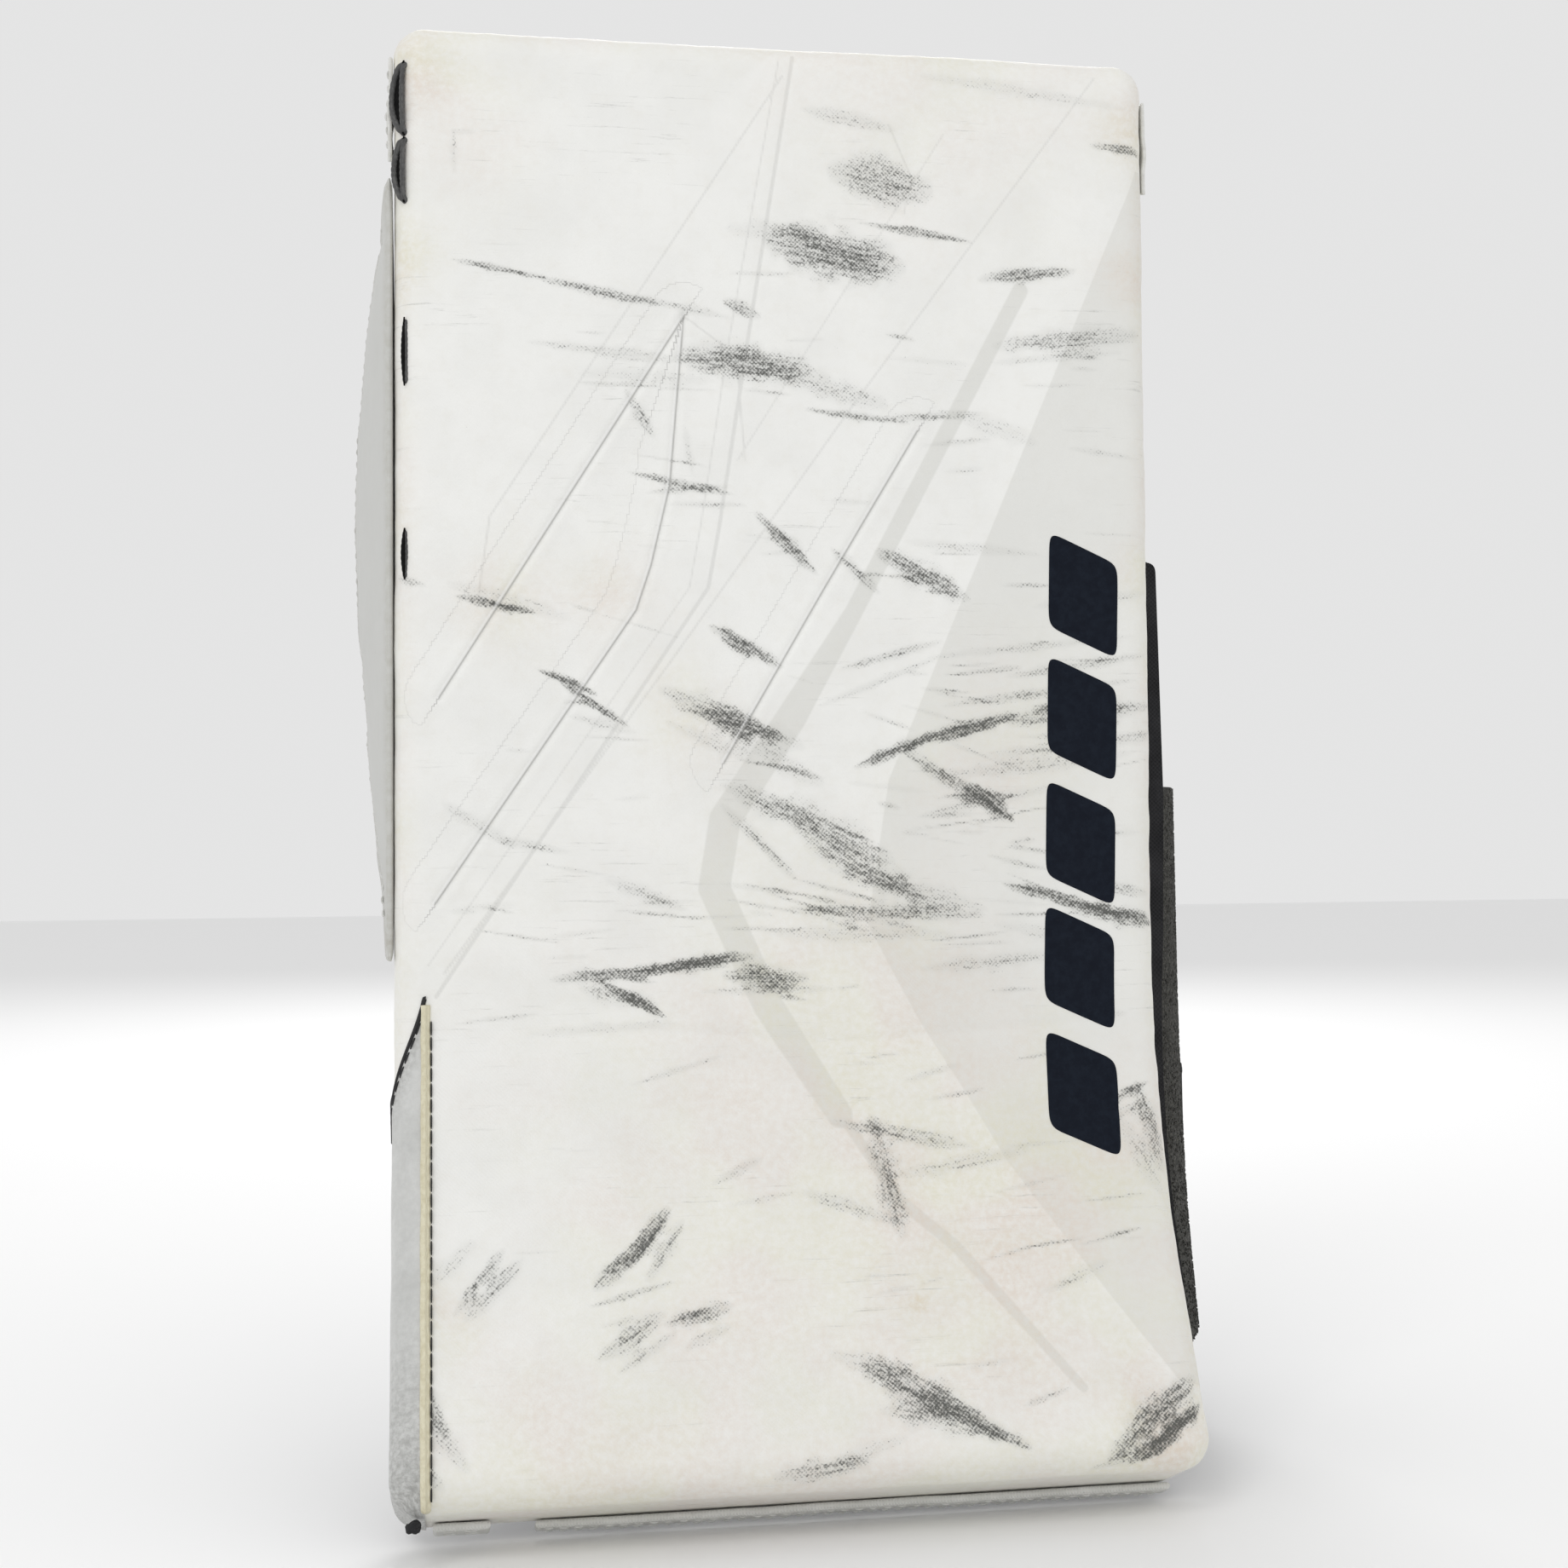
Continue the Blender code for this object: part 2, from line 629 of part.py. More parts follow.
def wrist_strap():
    """The strap is sewn to the thumb wall and closes over the wrist onto the loop cover."""
    anchor = [Vector(p) for p in ((-50.5, 48.0), (-51.0, 56.0), (-51.2, 64.0))]
    strip("strap_anchor", "strap", anchor, 0.0, STRAP_THICKNESS, STRAP_S, place=cuff_point, stations=[294.0])
    pivot = joint_empty("strap_joint", flat(STRAP_PIVOT[0], sum(STRAP_S) / 2, STRAP_PIVOT[1]))
    wall = smooth_path(LITTLE_WALL, 2)
    outside = offset_path(wall, -1.2 - 2 * GAP)
    patch = outside[7:]
    strip("strap_hook_patch", "loop", patch, 0.0, 1.0, STRAP_S, parent=pivot, stations=[294.0])
    outer = offset_path(wall, -1.2 - 3 * GAP)[7:]
    route = [Vector(p) for p in ((-51.6, 72.0), (-49.0, 88.0), (-34.0, 99.0), (0.0, 104.0), (45.0, 106.0))]
    route += [Vector((85.0, 107.5)), Vector((104.0, 106.5))]
    path = smooth_path([(p.x, p.y) for p in route], 3) + outer[::-1]
    strip("wrist_strap", "strap", path, 0.0, STRAP_THICKNESS, STRAP_S, parent=pivot, stations=[294.0])


clear_scene()
PARTS = new_collection("goalie_blocker")
CUTTERS = new_collection("cutters")
board_cover()
board_layers()
board_trim()
side_wrap()
hand_base()
palm()
fingers()
cuff()
wrist_strap()
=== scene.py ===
"""Looks of the goalie blocker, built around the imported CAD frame.

Board coordinates are the CAD's, in millimetres: x across, s down along the face from its top edge, d behind the face.
"""

import math

import bmesh
import bpy
import numpy as np
from mathutils import Matrix, Vector


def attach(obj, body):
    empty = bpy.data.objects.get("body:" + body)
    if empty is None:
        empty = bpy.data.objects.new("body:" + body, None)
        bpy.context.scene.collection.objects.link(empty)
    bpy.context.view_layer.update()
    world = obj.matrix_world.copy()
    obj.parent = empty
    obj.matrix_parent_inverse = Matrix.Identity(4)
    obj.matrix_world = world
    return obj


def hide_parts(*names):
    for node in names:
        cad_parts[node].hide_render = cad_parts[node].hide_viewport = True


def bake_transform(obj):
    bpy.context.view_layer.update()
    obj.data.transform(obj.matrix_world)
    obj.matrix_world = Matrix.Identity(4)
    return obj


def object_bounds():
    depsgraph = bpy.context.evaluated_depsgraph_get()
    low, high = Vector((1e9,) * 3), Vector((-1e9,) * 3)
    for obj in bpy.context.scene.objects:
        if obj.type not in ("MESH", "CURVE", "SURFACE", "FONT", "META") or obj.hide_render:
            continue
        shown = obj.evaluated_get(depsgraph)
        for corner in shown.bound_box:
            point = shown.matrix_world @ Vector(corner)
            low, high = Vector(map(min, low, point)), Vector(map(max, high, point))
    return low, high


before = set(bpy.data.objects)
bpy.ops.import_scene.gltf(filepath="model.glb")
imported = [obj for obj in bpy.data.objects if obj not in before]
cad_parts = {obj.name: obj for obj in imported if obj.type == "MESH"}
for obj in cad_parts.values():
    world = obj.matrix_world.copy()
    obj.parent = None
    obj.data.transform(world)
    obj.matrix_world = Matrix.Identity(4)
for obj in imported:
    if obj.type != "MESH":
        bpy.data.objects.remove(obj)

CAD_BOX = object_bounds()

# ---------------------------------------------------------------- sizes shared with the CAD, in millimetres

MM = 0.001
GRIP_S, GRIP_D = 135.0, 110.0
BOARD_X = (-101.5, 103.0)
BOARD_S = (-1.8, 377.0)
CORNER_RADIUS = 8.0
ROLL = CORNER_RADIUS * math.pi / 2
COVER_DEPTH = 28.9
FLANGE = COVER_DEPTH - CORNER_RADIUS
BEND_STARTS = (245.7, 291.5)
BEND_ANGLES = (math.radians(11.2), math.radians(25.1))
BEND_RUN = 25.0
SEAM_X = -93.95
HAND_BACK = 36.6
CUFF_S, CUFF_FLARE = (198.0, 343.0), 0.008
THUMB_CUFF_TOP = 232.0
STRAP_S = (275.0, 313.0)
WRAP_S, WRAP_CREST = (38.5, 243.0), 118.0

FINE = 0.6
COARSE = 1.6


# ---------------------------------------------------------------- places

def bend_angle(s):
    first = np.clip((s - BEND_STARTS[0]) / BEND_RUN, 0, 1)
    second = np.clip((s - BEND_STARTS[1]) / BEND_RUN, 0, 1)
    return BEND_ANGLES[0] * first + (BEND_ANGLES[1] - BEND_ANGLES[0]) * second


PROFILE_S = np.arange(0.0, 420.0, 0.5)
PROFILE_ANGLE = bend_angle(PROFILE_S[1:] - 0.25)
PROFILE_FORWARD = np.concatenate([[0], np.cumsum(np.sin(PROFILE_ANGLE) * 0.5)])
PROFILE_DOWN = np.concatenate([[0], np.cumsum(np.cos(PROFILE_ANGLE) * 0.5)])


def board(x, s, d):
    """World points, in metres, of board coordinates given as arrays, on the bent board."""
    x, s, d = np.broadcast_arrays(*(np.asarray(v, float) for v in (x, s, d)))
    angle = bend_angle(s)
    y = -GRIP_D - np.interp(s, PROFILE_S, PROFILE_FORWARD) + d * np.cos(angle)
    down = np.where(s < 0, s, np.interp(s, PROFILE_S, PROFILE_DOWN))
    z = GRIP_S - down - d * np.sin(angle)
    return np.stack([x, y, z], -1) * MM


def flat(x, s, d):
    """The same without the board's bend."""
    x, s, d = np.broadcast_arrays(*(np.asarray(v, float) for v in (x, s, d)))
    return np.stack([x, d - GRIP_D, GRIP_S - s], -1) * MM


def cuff(x, s, d):
    """Follows the bent board at the base panel and stands straight further back."""
    x, s, d = np.broadcast_arrays(*(np.asarray(v, float) for v in (x, s, d)))
    base = board(x, s, HAND_BACK)
    straight = np.clip((d - HAND_BACK) / 24.0, 0, 1)
    y = (base[..., 1] / MM + d - HAND_BACK) * (1 - straight) + (d - GRIP_D) * straight
    flare = np.clip((x - 60.0) / 60.0, 0, 1) * CUFF_FLARE * (s - CUFF_S[0])
    return np.stack([(x + flare) * MM, y * MM, base[..., 2]], -1)


def cover_point(u, v, lift):
    """Wraps the flat pattern over the board: u, v in millimetres, and lift is how far it stands off."""
    r = CORNER_RADIUS
    cu = np.clip(u, BOARD_X[0] + r, BOARD_X[1] - r)
    cv = np.clip(v, BOARD_S[0] + r, BOARD_S[1] - r)
    eu, ev = u - cu, v - cv
    au, av = np.abs(eu), np.abs(ev)
    reach = np.maximum(au, av)
    share = np.minimum(au, av) / np.maximum(reach, 1e-9)
    turn = np.where(au >= av, math.pi / 4 * share, math.pi / 2 - math.pi / 4 * share)
    nu, nv = np.cos(turn) * np.sign(eu), np.sin(turn) * np.sign(ev)
    angle = np.minimum(reach / r, math.pi / 2)
    past = np.maximum(reach - ROLL, 0)
    out = (r + lift) * np.sin(angle)
    return board(cu + nu * out, cv + nv * out, r - (r + lift) * np.cos(angle) + past)


# ---------------------------------------------------------------- curves and paths

def bell(value, width):
    """1 where the value is 0, falling off over the width."""
    return np.exp(-((value / width) ** 2))


def quarter_round(t):
    """The height of a round rim: 0 where t is 0, and 1 from where t is 1."""
    return np.sqrt(np.clip(1 - np.clip(1 - t, 0, 1) ** 2, 0, 1))


def unit(vectors):
    return vectors / np.linalg.norm(vectors, axis=-1, keepdims=True)


def run_length(path):
    """How far along a path each of its points is."""
    return np.concatenate([[0], np.cumsum(np.linalg.norm(np.diff(path, axis=0), axis=1))])


def along_path(path, at, places):
    """The points at some places along a path, whose own points are as far along as at says."""
    return np.stack([np.interp(places, at, column) for column in path.T], 1)


def facing(direction, path):
    """The same normal for each point of a path."""
    return np.tile(direction, (len(path), 1))


def flat_pattern(a, b):
    return np.stack([a, b, np.zeros_like(a)], -1).reshape(-1, 3)


# ---------------------------------------------------------------- camera, light and floor

VIEW_DISTANCE = 0.550
VIEW_TARGET = Vector((0, -GRIP_D, GRIP_S - 190.0)) * MM
VIEW_YAW, VIEW_PITCH, VIEW_ROLL = (math.radians(a) for a in (9.4, 2.15, 0.48))
LENS, SENSOR = 47.7, 36.0
SHIFT_Y = -0.0187


def add_camera():
    """The camera stands a little to the thumb side, level with the middle of the face."""
    c, s = math.cos(VIEW_YAW), math.sin(VIEW_YAW)
    cp, sp = math.cos(VIEW_PITCH), math.sin(VIEW_PITCH)
    cr, sr = math.cos(VIEW_ROLL), math.sin(VIEW_ROLL)
    right = Vector((c, -s, 0))
    up = Vector((-s * sp, -c * sp, cp))
    back = Vector((-s * cp, -c * cp, -sp))
    right, up = right * cr - up * sr, right * sr + up * cr
    data = bpy.data.cameras.new("camera")
    data.lens, data.sensor_width = LENS, SENSOR
    data.shift_y = SHIFT_Y
    data.clip_start = 0.01
    camera = bpy.data.objects.new("camera", data)
    camera.matrix_world = Matrix.Translation(VIEW_TARGET + back * VIEW_DISTANCE) @ Matrix(
        ((right.x, up.x, back.x), (right.y, up.y, back.y), (right.z, up.z, back.z))
    ).to_4x4()
    bpy.context.scene.collection.objects.link(camera)
    bpy.context.scene.camera = camera


def add_area(name, location, target, size, power):
    data = bpy.data.lights.new(name, "AREA")
    data.size, data.energy = size, power
    lamp = bpy.data.objects.new(name, data)
    lamp.location = location
    lamp.rotation_euler = (Vector(target) - Vector(location)).to_track_quat("-Z", "Y").to_euler()
    bpy.context.scene.collection.objects.link(lamp)


def add_stage():
    bpy.context.scene.view_settings.view_transform = "Standard"
    world = bpy.data.worlds.new("studio")
    bpy.context.scene.world = world
    world.use_nodes = True
    world.node_tree.nodes["Background"].inputs["Color"].default_value = (1.0, 1.0, 1.0, 1)
    world.node_tree.nodes["Background"].inputs["Strength"].default_value = 0.78
    bpy.ops.mesh.primitive_plane_add(size=8, location=(0, 0, CAD_BOX[0].z - 0.0012))
    floor = bpy.context.object
    floor.name = "floor"
    n = Nodes("floor_white", roughness=0.9)
    floor.data.materials.append(n.finish((0.90, 0.90, 0.90)))
    add_area("key", (-0.75, -1.2, 1.15), (0, -0.08, 0), 0.55, 5.0)
    add_area("fill", (1.3, -1.2, 0.2), (0, -0.05, 0), 1.4, 1.2)
    add_area("rim", (0.2, 1.3, 0.9), (0, 0, 0), 0.9, 9)


# ---------------------------------------------------------------- nodes

class Nodes:
    """A short way to write a node tree: each method adds a node and returns its output socket."""

    def __init__(self, name, roughness=0.6, **sockets):
        self.material = bpy.data.materials.new(name)
        self.material.use_nodes = True
        self.tree = self.material.node_tree
        self.shader = self.tree.nodes["Principled BSDF"]
        self.shader.inputs["Roughness"].default_value = roughness
        for key, value in sockets.items():
            self.shader.inputs[key.replace("_", " ")].default_value = value

    def link(self, value, socket):
        if isinstance(value, bpy.types.NodeSocket):
            self.tree.links.new(value, socket)
        elif value is not None:
            socket.default_value = value

    def node(self, kind, inputs=(), output=0, **props):
        made = self.tree.nodes.new(kind)
        for key, value in props.items():
            setattr(made, key, value)
        for key, value in dict(inputs).items():
            self.link(value, made.inputs[key])
        return made.outputs[output]

    def attribute(self, name, output="Fac"):
        return self.node("ShaderNodeAttribute", output=output, attribute_name=name)

    def pattern(self):
        return self.attribute("pattern", "Vector")

    def position(self):
        return self.node("ShaderNodeTexCoord", output="Object")

    def scaled(self, vector, scale, rotation=0.0):
        return self.node("ShaderNodeMapping", {"Vector": vector, "Scale": scale, "Rotation": (0, 0, rotation)})

    def noise(self, vector, scale, detail=2.0, roughness=0.5):
        return self.node(
            "ShaderNodeTexNoise", {"Vector": vector, "Scale": scale, "Detail": detail, "Roughness": roughness}
        )

    def voronoi(self, vector, scale, randomness=1.0, **props):
        inputs = {"Vector": vector, "Scale": scale, "Randomness": randomness}
        return self.node("ShaderNodeTexVoronoi", inputs, output="Distance", **props)

    def math(self, operation, a, b=None, c=None):
        made = self.tree.nodes.new("ShaderNodeMath")
        made.operation = operation
        for value, socket in zip((a, b, c), made.inputs):
            self.link(value, socket)
        return made.outputs[0]

    def add(self, a, b):
        return self.math("ADD", a, b)

    def times(self, a, b):
        return self.math("MULTIPLY", a, b)

    def ramp(self, value, low, high, out_low=0.0, out_high=1.0):
        inputs = {"Value": value, "From Min": low, "From Max": high, "To Min": out_low, "To Max": out_high}
        return self.node("ShaderNodeMapRange", inputs, interpolation_type="SMOOTHSTEP")

    def bell(self, value, width):
        """1 where the value is 0, falling off over the width."""
        scaled = self.times(value, 1 / width)
        return self.math("POWER", math.e, self.times(self.times(scaled, scaled), -1.0))

    def mix(self, share, a, b):
        made = self.tree.nodes.new("ShaderNodeMix")
        made.data_type = "RGBA"
        self.link(share, made.inputs[0])
        for value, socket in ((a, made.inputs[6]), (b, made.inputs[7])):
            self.link((*value, 1) if isinstance(value, tuple) else value, socket)
        return made.outputs[2]

    def tones(self, pattern, noise, steps, a, b):
        """Two colours mixed by noise of a scale, detail and roughness, between two steps."""
        return self.mix(self.ramp(self.noise(pattern, *noise), *steps), a, b)

    def split(self, vector):
        made = self.tree.nodes.new("ShaderNodeSeparateXYZ")
        self.link(vector, made.inputs[0])
        return made.outputs

    def bump(self, height, distance, strength=1.0, normal=None):
        inputs = {"Height": height, "Distance": distance, "Strength": strength}
        if normal is not None:
            inputs["Normal"] = normal
        return self.node("ShaderNodeBump", inputs)

    def weave(self, vector, pitch):
        """A plain weave's height from 0 to 1, with threads pitch millimetres apart."""
        x, y, _ = self.split(vector)
        waves = [self.math("SINE", self.times(axis, 2 * math.pi / pitch)) for axis in (x, y)]
        return self.math("MULTIPLY_ADD", self.times(*waves), 0.5, 0.5)

    def finish(self, color=None, roughness=None, normal=None):
        for value, key in ((color, "Base Color"), (roughness, "Roughness"), (normal, "Normal")):
            if value is not None:
                self.link((*value, 1) if isinstance(value, tuple) else value, self.shader.inputs[key])
        return self.material


# ---------------------------------------------------------------- materials

LEATHER_TINTS = ((0.90, 0.90, 0.875), (0.855, 0.855, 0.83), (0.83, 0.815, 0.765))


def leather_base(n, pattern):
    tint = n.tones(pattern, (0.035, 4, 0.6), (0.35, 0.7), *LEATHER_TINTS[:2])
    cloudy = n.ramp(n.noise(pattern, 0.22, 3, 0.6), 0.45, 0.8)
    return n.mix(n.times(cloudy, 0.35), tint, LEATHER_TINTS[2])


def leather_grain(n, pattern):
    grain = n.weave(n.scaled(pattern, (1, 1, 1), 0.02), 1.1)
    return grain, n.add(n.times(n.noise(pattern, 2.2, 3, 0.6), 0.7), n.times(grain, 0.4))


def face_leather():
    """White coated leather with printed lines, pressed grooves with painted shade in them and a painted highlight
    along one side, stains, and black marks rubbed onto its grain.
    """
    n = Nodes("face_leather_looks", Coat_Weight=0.06, Coat_Roughness=0.35, Specular_IOR_Level=0.4)
    pattern = n.pattern()
    scuff, stain, line, band, panel, groove = (
        n.attribute(name) for name in ("scuff", "stain", "line", "band", "panel", "groove")
    )
    base = leather_base(n, pattern)
    tinted = n.times(n.ramp(panel, -0.3, 0.3), n.ramp(panel, 60, 0, 0.28, 0.48))
    base = n.mix(tinted, base, (0.69, 0.69, 0.655))
    base = n.mix(n.times(n.ramp(band, 0.4, -0.4), 0.50), base, (0.66, 0.66, 0.62))
    base = n.mix(n.times(n.ramp(line, 0.35, -0.25), 0.42), base, (0.60, 0.60, 0.58))
    tint = n.tones(pattern, (0.03, 2), (0.4, 0.6), (0.72, 0.60, 0.49), (0.72, 0.68, 0.48))
    stained = n.times(stain, n.ramp(n.noise(pattern, 0.5, 5, 0.65), 0.25, 0.75, 0.25, 0.85))
    base = n.mix(stained, base, tint)
    grain, relief = leather_grain(n, pattern)
    along = n.noise(n.scaled(n.attribute("streak", "Vector"), (0.11, 0.95, 1.0)), 1.0, 5, 0.7)
    grit = n.noise(pattern, 0.9, 7, 0.85)
    level = n.add(n.times(n.add(along, -0.5), 1.3), n.times(n.add(grit, -0.5), 2.6))
    level = n.add(level, n.times(n.add(grain, -0.5), 0.34))
    rubbed = n.ramp(n.add(n.add(level, scuff), -0.47), 0.0, 0.62, 0.0, 0.93)
    patches = n.ramp(n.noise(n.scaled(pattern, (0.020, 0.030, 1), 0.2), 1.0, 2), 0.46, 0.66)
    faint = n.ramp(n.noise(n.scaled(pattern, (0.045, 0.75, 1), 0.12), 1.0, 6, 0.7), 0.57, 0.70)
    faint = n.times(n.times(faint, patches), n.ramp(grit, 0.40, 0.62, 0.2, 0.62))
    haze = n.times(n.math("POWER", scuff, 1.3), 0.36)
    base = n.mix(n.math("MAXIMUM", haze, faint), base, (0.34, 0.345, 0.32))
    base = n.mix(rubbed, base, (0.058, 0.060, 0.054))
    # Painted shade down the middle of each pressed groove.
    base = n.mix(n.times(n.bell(groove, 0.26), 0.62), base, (0.30, 0.30, 0.285))
    # Painted highlight: a bright line along one side of each groove.
    base = n.mix(n.times(n.bell(n.add(groove, 0.6), 0.30), 0.55), base, (0.96, 0.96, 0.95))
    pressed = n.times(n.bell(groove, 0.6), -4.0)
    normal = n.bump(n.add(relief, pressed), 0.00009, 0.6)
    rough = n.add(0.44, n.times(n.add(rubbed, stained), 0.2))
    return n.finish(base, rough, normal)


def wrap_leather(name, painted_shade):
    """The same leather on the side wrap and corner caps, greyed by a share of painted shade for sides turned away
    from the light, and smudged along its edges.
    """
    n = Nodes(name, Coat_Weight=0.06, Coat_Roughness=0.35, Specular_IOR_Level=0.4)
    pattern = n.pattern()
    # Painted shade: mixes the leather towards grey by the given share.
    base = n.mix(painted_shade, leather_base(n, pattern), (0.46, 0.465, 0.445))
    smudge = n.times(n.attribute("stain"), n.ramp(n.noise(pattern, 0.3, 5, 0.7), 0.3, 0.75, 0.1, 1.0))
    base = n.mix(smudge, base, (0.42, 0.405, 0.35))
    streaks = n.ramp(n.noise(n.scaled(pattern, (0.5, 0.09, 1), 0.4), 1.0, 6, 0.75), 0.62, 0.74)
    base = n.mix(n.times(streaks, n.ramp(n.noise(pattern, 0.05, 2), 0.5, 0.65, 0.0, 0.6)), base, (0.2, 0.2, 0.19))
    _, relief = leather_grain(n, pattern)
    return n.finish(base, 0.47, n.bump(relief, 0.00009, 0.55))


def side_leather():
    """The smoother grey-white leather of the lower side panel, dirtier towards its bottom."""
    n = Nodes("side_leather_looks", Coat_Weight=0.1, Coat_Roughness=0.3)
    pattern = n.pattern()
    base = n.tones(pattern, (0.06, 4, 0.6), (0.35, 0.7), (0.66, 0.665, 0.65), (0.57, 0.575, 0.56))
    dirt = n.times(n.attribute("stain"), n.ramp(n.noise(pattern, 0.6, 5, 0.7), 0.3, 0.7, 0.1, 0.9))
    base = n.mix(dirt, base, (0.16, 0.155, 0.14))
    marks = n.ramp(n.noise(n.scaled(pattern, (0.9, 0.12, 1), 0.5), 1.0, 6, 0.75), 0.64, 0.74, 0.0, 0.6)
    base = n.mix(marks, base, (0.15, 0.15, 0.14))
    return n.finish(base, 0.42, n.bump(n.noise(pattern, 1.6, 4, 0.65), 0.0001, 0.6))


def woven(name, light, dark, pitch, roughness, depth=0.00012, slant=0.0, fuzz=0.0, shine=0.2, worn=None):
    """Woven cloth: threads pitch millimetres apart that vary in tone, with lint or wear."""
    n = Nodes(name, roughness=roughness, Sheen_Weight=fuzz, Sheen_Roughness=0.5, Specular_IOR_Level=shine)
    pattern = n.scaled(n.pattern(), (1, 1, 1), slant)
    threads = n.weave(pattern, pitch)
    tone = n.times(n.ramp(n.noise(pattern, 0.08, 4, 0.6), 0.3, 0.7), 0.5)
    base = n.mix(n.add(n.times(threads, 0.5), tone), dark, light)
    if worn:
        lint = n.ramp(n.noise(pattern, 0.7, 6, 0.8), 0.62, 0.75, 0.0, 0.5)
        base = n.mix(lint, base, worn)
    height = n.add(threads, n.times(n.noise(pattern, 1.4, 3), 0.5))
    return n.finish(base, n.ramp(threads, 0, 1, min(roughness + 0.12, 1), roughness), n.bump(height, depth, 0.9))


def spacer_mesh():
    """Knitted spacer mesh with small dark holes."""
    n = Nodes("liner_mesh_looks", roughness=0.85, Sheen_Weight=0.25)
    pattern = n.pattern()
    cells = n.voronoi(n.scaled(pattern, (0.36, 0.36, 0.36)), 1.0, randomness=0.15)
    rim = n.ramp(cells, 0.18, 0.42)
    base = n.tones(pattern, (0.06, 4, 0.6), (0.3, 0.7), (0.085, 0.088, 0.094), (0.055, 0.057, 0.062))
    base = n.mix(rim, (0.008, 0.008, 0.009), base)
    height = n.add(rim, n.times(n.weave(pattern, 0.7), 0.25))
    return n.finish(base, 0.85, n.bump(height, 0.0004, 0.9))


def palm_leather(name="palm_leather_looks", light=(0.40, 0.375, 0.33), dark=(0.27, 0.25, 0.215)):
    """Synthetic suede, darker and shinier where it grips the stick, with painted shade along its creases."""
    n = Nodes(name, roughness=0.85, Sheen_Weight=0.3, Sheen_Roughness=0.6)
    pattern = n.pattern()
    base = n.tones(pattern, (0.05, 5, 0.65), (0.3, 0.7), light, dark)
    nap = n.noise(n.scaled(pattern, (1.6, 0.8, 1)), 1.0, 5, 0.7)
    base = n.mix(n.ramp(nap, 0.35, 0.75, 0.0, 0.45), base, dark)
    folds = n.noise(n.scaled(pattern, (0.05, 0.17, 0.1), 0.25), 1.0, 6, 0.6)
    creases = n.ramp(n.math("ABSOLUTE", n.add(folds, -0.5)), 0.0, 0.022)
    # Painted shade: darkens the suede along the crease lines.
    base = n.mix(n.times(n.math("SUBTRACT", 1.0, creases), 0.30), base, dark)
    height = n.add(n.times(nap, 0.5), creases)
    worn = n.attribute("stain")
    base = n.mix(n.times(worn, 0.6), base, (0.10, 0.09, 0.08))
    return n.finish(base, n.ramp(worn, 0, 1, 0.88, 0.55), n.bump(height, 0.0003, 0.8))


def stall_fabric():
    """Finger sleeves: stretch knit on the back and synthetic suede on the grip side."""
    n = Nodes("stall_fabric_looks", roughness=0.8, Sheen_Weight=0.25)
    pattern = n.pattern()
    palmar = n.ramp(n.attribute("palmar"), -0.04, 0.04)
    threads = n.weave(n.scaled(pattern, (1, 1, 1), 0.785), 0.9)
    knit = n.mix(threads, (0.010, 0.010, 0.012), (0.040, 0.040, 0.045))
    suede = n.tones(pattern, (0.12, 5, 0.65), (0.3, 0.7), (0.36, 0.34, 0.30), (0.23, 0.215, 0.19))
    height = n.add(n.times(threads, 0.5), n.noise(pattern, 1.2, 4, 0.7))
    return n.finish(n.mix(palmar, knit, suede), n.ramp(palmar, 0, 1, 0.72, 0.88), n.bump(height, 0.00025, 0.8))


def loop_pile():
    """Grey loop pile, flattened and dusty in patches."""
    n = Nodes("loop_pile_looks", roughness=0.95, Sheen_Weight=0.15, Sheen_Roughness=0.45, Specular_IOR_Level=0.2)
    pattern = n.pattern()
    loops = n.voronoi(pattern, 1.3, randomness=0.9)
    base = n.mix(n.ramp(loops, 0.1, 0.6), (0.105, 0.102, 0.088), (0.028, 0.027, 0.022))
    patch = n.ramp(n.noise(pattern, 0.07, 4, 0.65), 0.4, 0.7, 0.0, 0.55)
    base = n.mix(patch, base, (0.055, 0.053, 0.046))
    return n.finish(base, 0.95, n.bump(n.noise(pattern, 1.8, 5, 0.75), 0.0006, 1.0))


def smooth_plastic(name, color, other, roughness, **sockets):
    """A coated print, cord or thread: fine twist or speckle over two close tones."""
    n = Nodes(name, roughness=roughness, **sockets)
    pattern = n.pattern()
    base = n.tones(pattern, (0.5, 5, 0.65), (0.35, 0.7), color, other)
    x, y, _ = n.split(pattern)
    twist = n.math("SINE", n.times(n.add(x, n.times(y, 0.8)), 4.2))
    height = n.add(n.times(twist, 0.3), n.noise(pattern, 1.5, 3))
    rough = n.ramp(n.noise(pattern, 0.25, 3), 0.3, 0.7, roughness, roughness + 0.1)
    return n.finish(base, rough, n.bump(height, 0.00008, 0.7))


# ---------------------------------------------------------------- meshes

def add_piece(name, mesh, material, body="root", replaces=()):
    obj = bpy.data.objects.new(name, mesh)
    bpy.context.scene.collection.objects.link(obj)
    mesh.materials.clear()
    mesh.materials.append(material)
    mesh.shade_smooth()
    if body:
        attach(obj, body)
    if replaces:
        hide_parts(*replaces)
    return obj


def quick_mesh(name, points, quads, pattern=None, **fields):
    mesh = bpy.data.meshes.new(name)
    mesh.vertices.add(len(points))
    mesh.vertices.foreach_set("co", np.ascontiguousarray(points, np.float32).ravel())
    mesh.loops.add(quads.size)
    mesh.loops.foreach_set("vertex_index", np.ascontiguousarray(quads, np.int32).ravel())
    mesh.polygons.add(len(quads))
    mesh.polygons.foreach_set("loop_start", np.arange(0, quads.size, quads.shape[1], dtype=np.int32))
    mesh.update(calc_edges=True)
    mesh.validate()
    if pattern is None:
        pattern = points / MM
    set_field(mesh, "pattern", pattern)
    for key, values in fields.items():
        set_field(mesh, key, values)
    return mesh


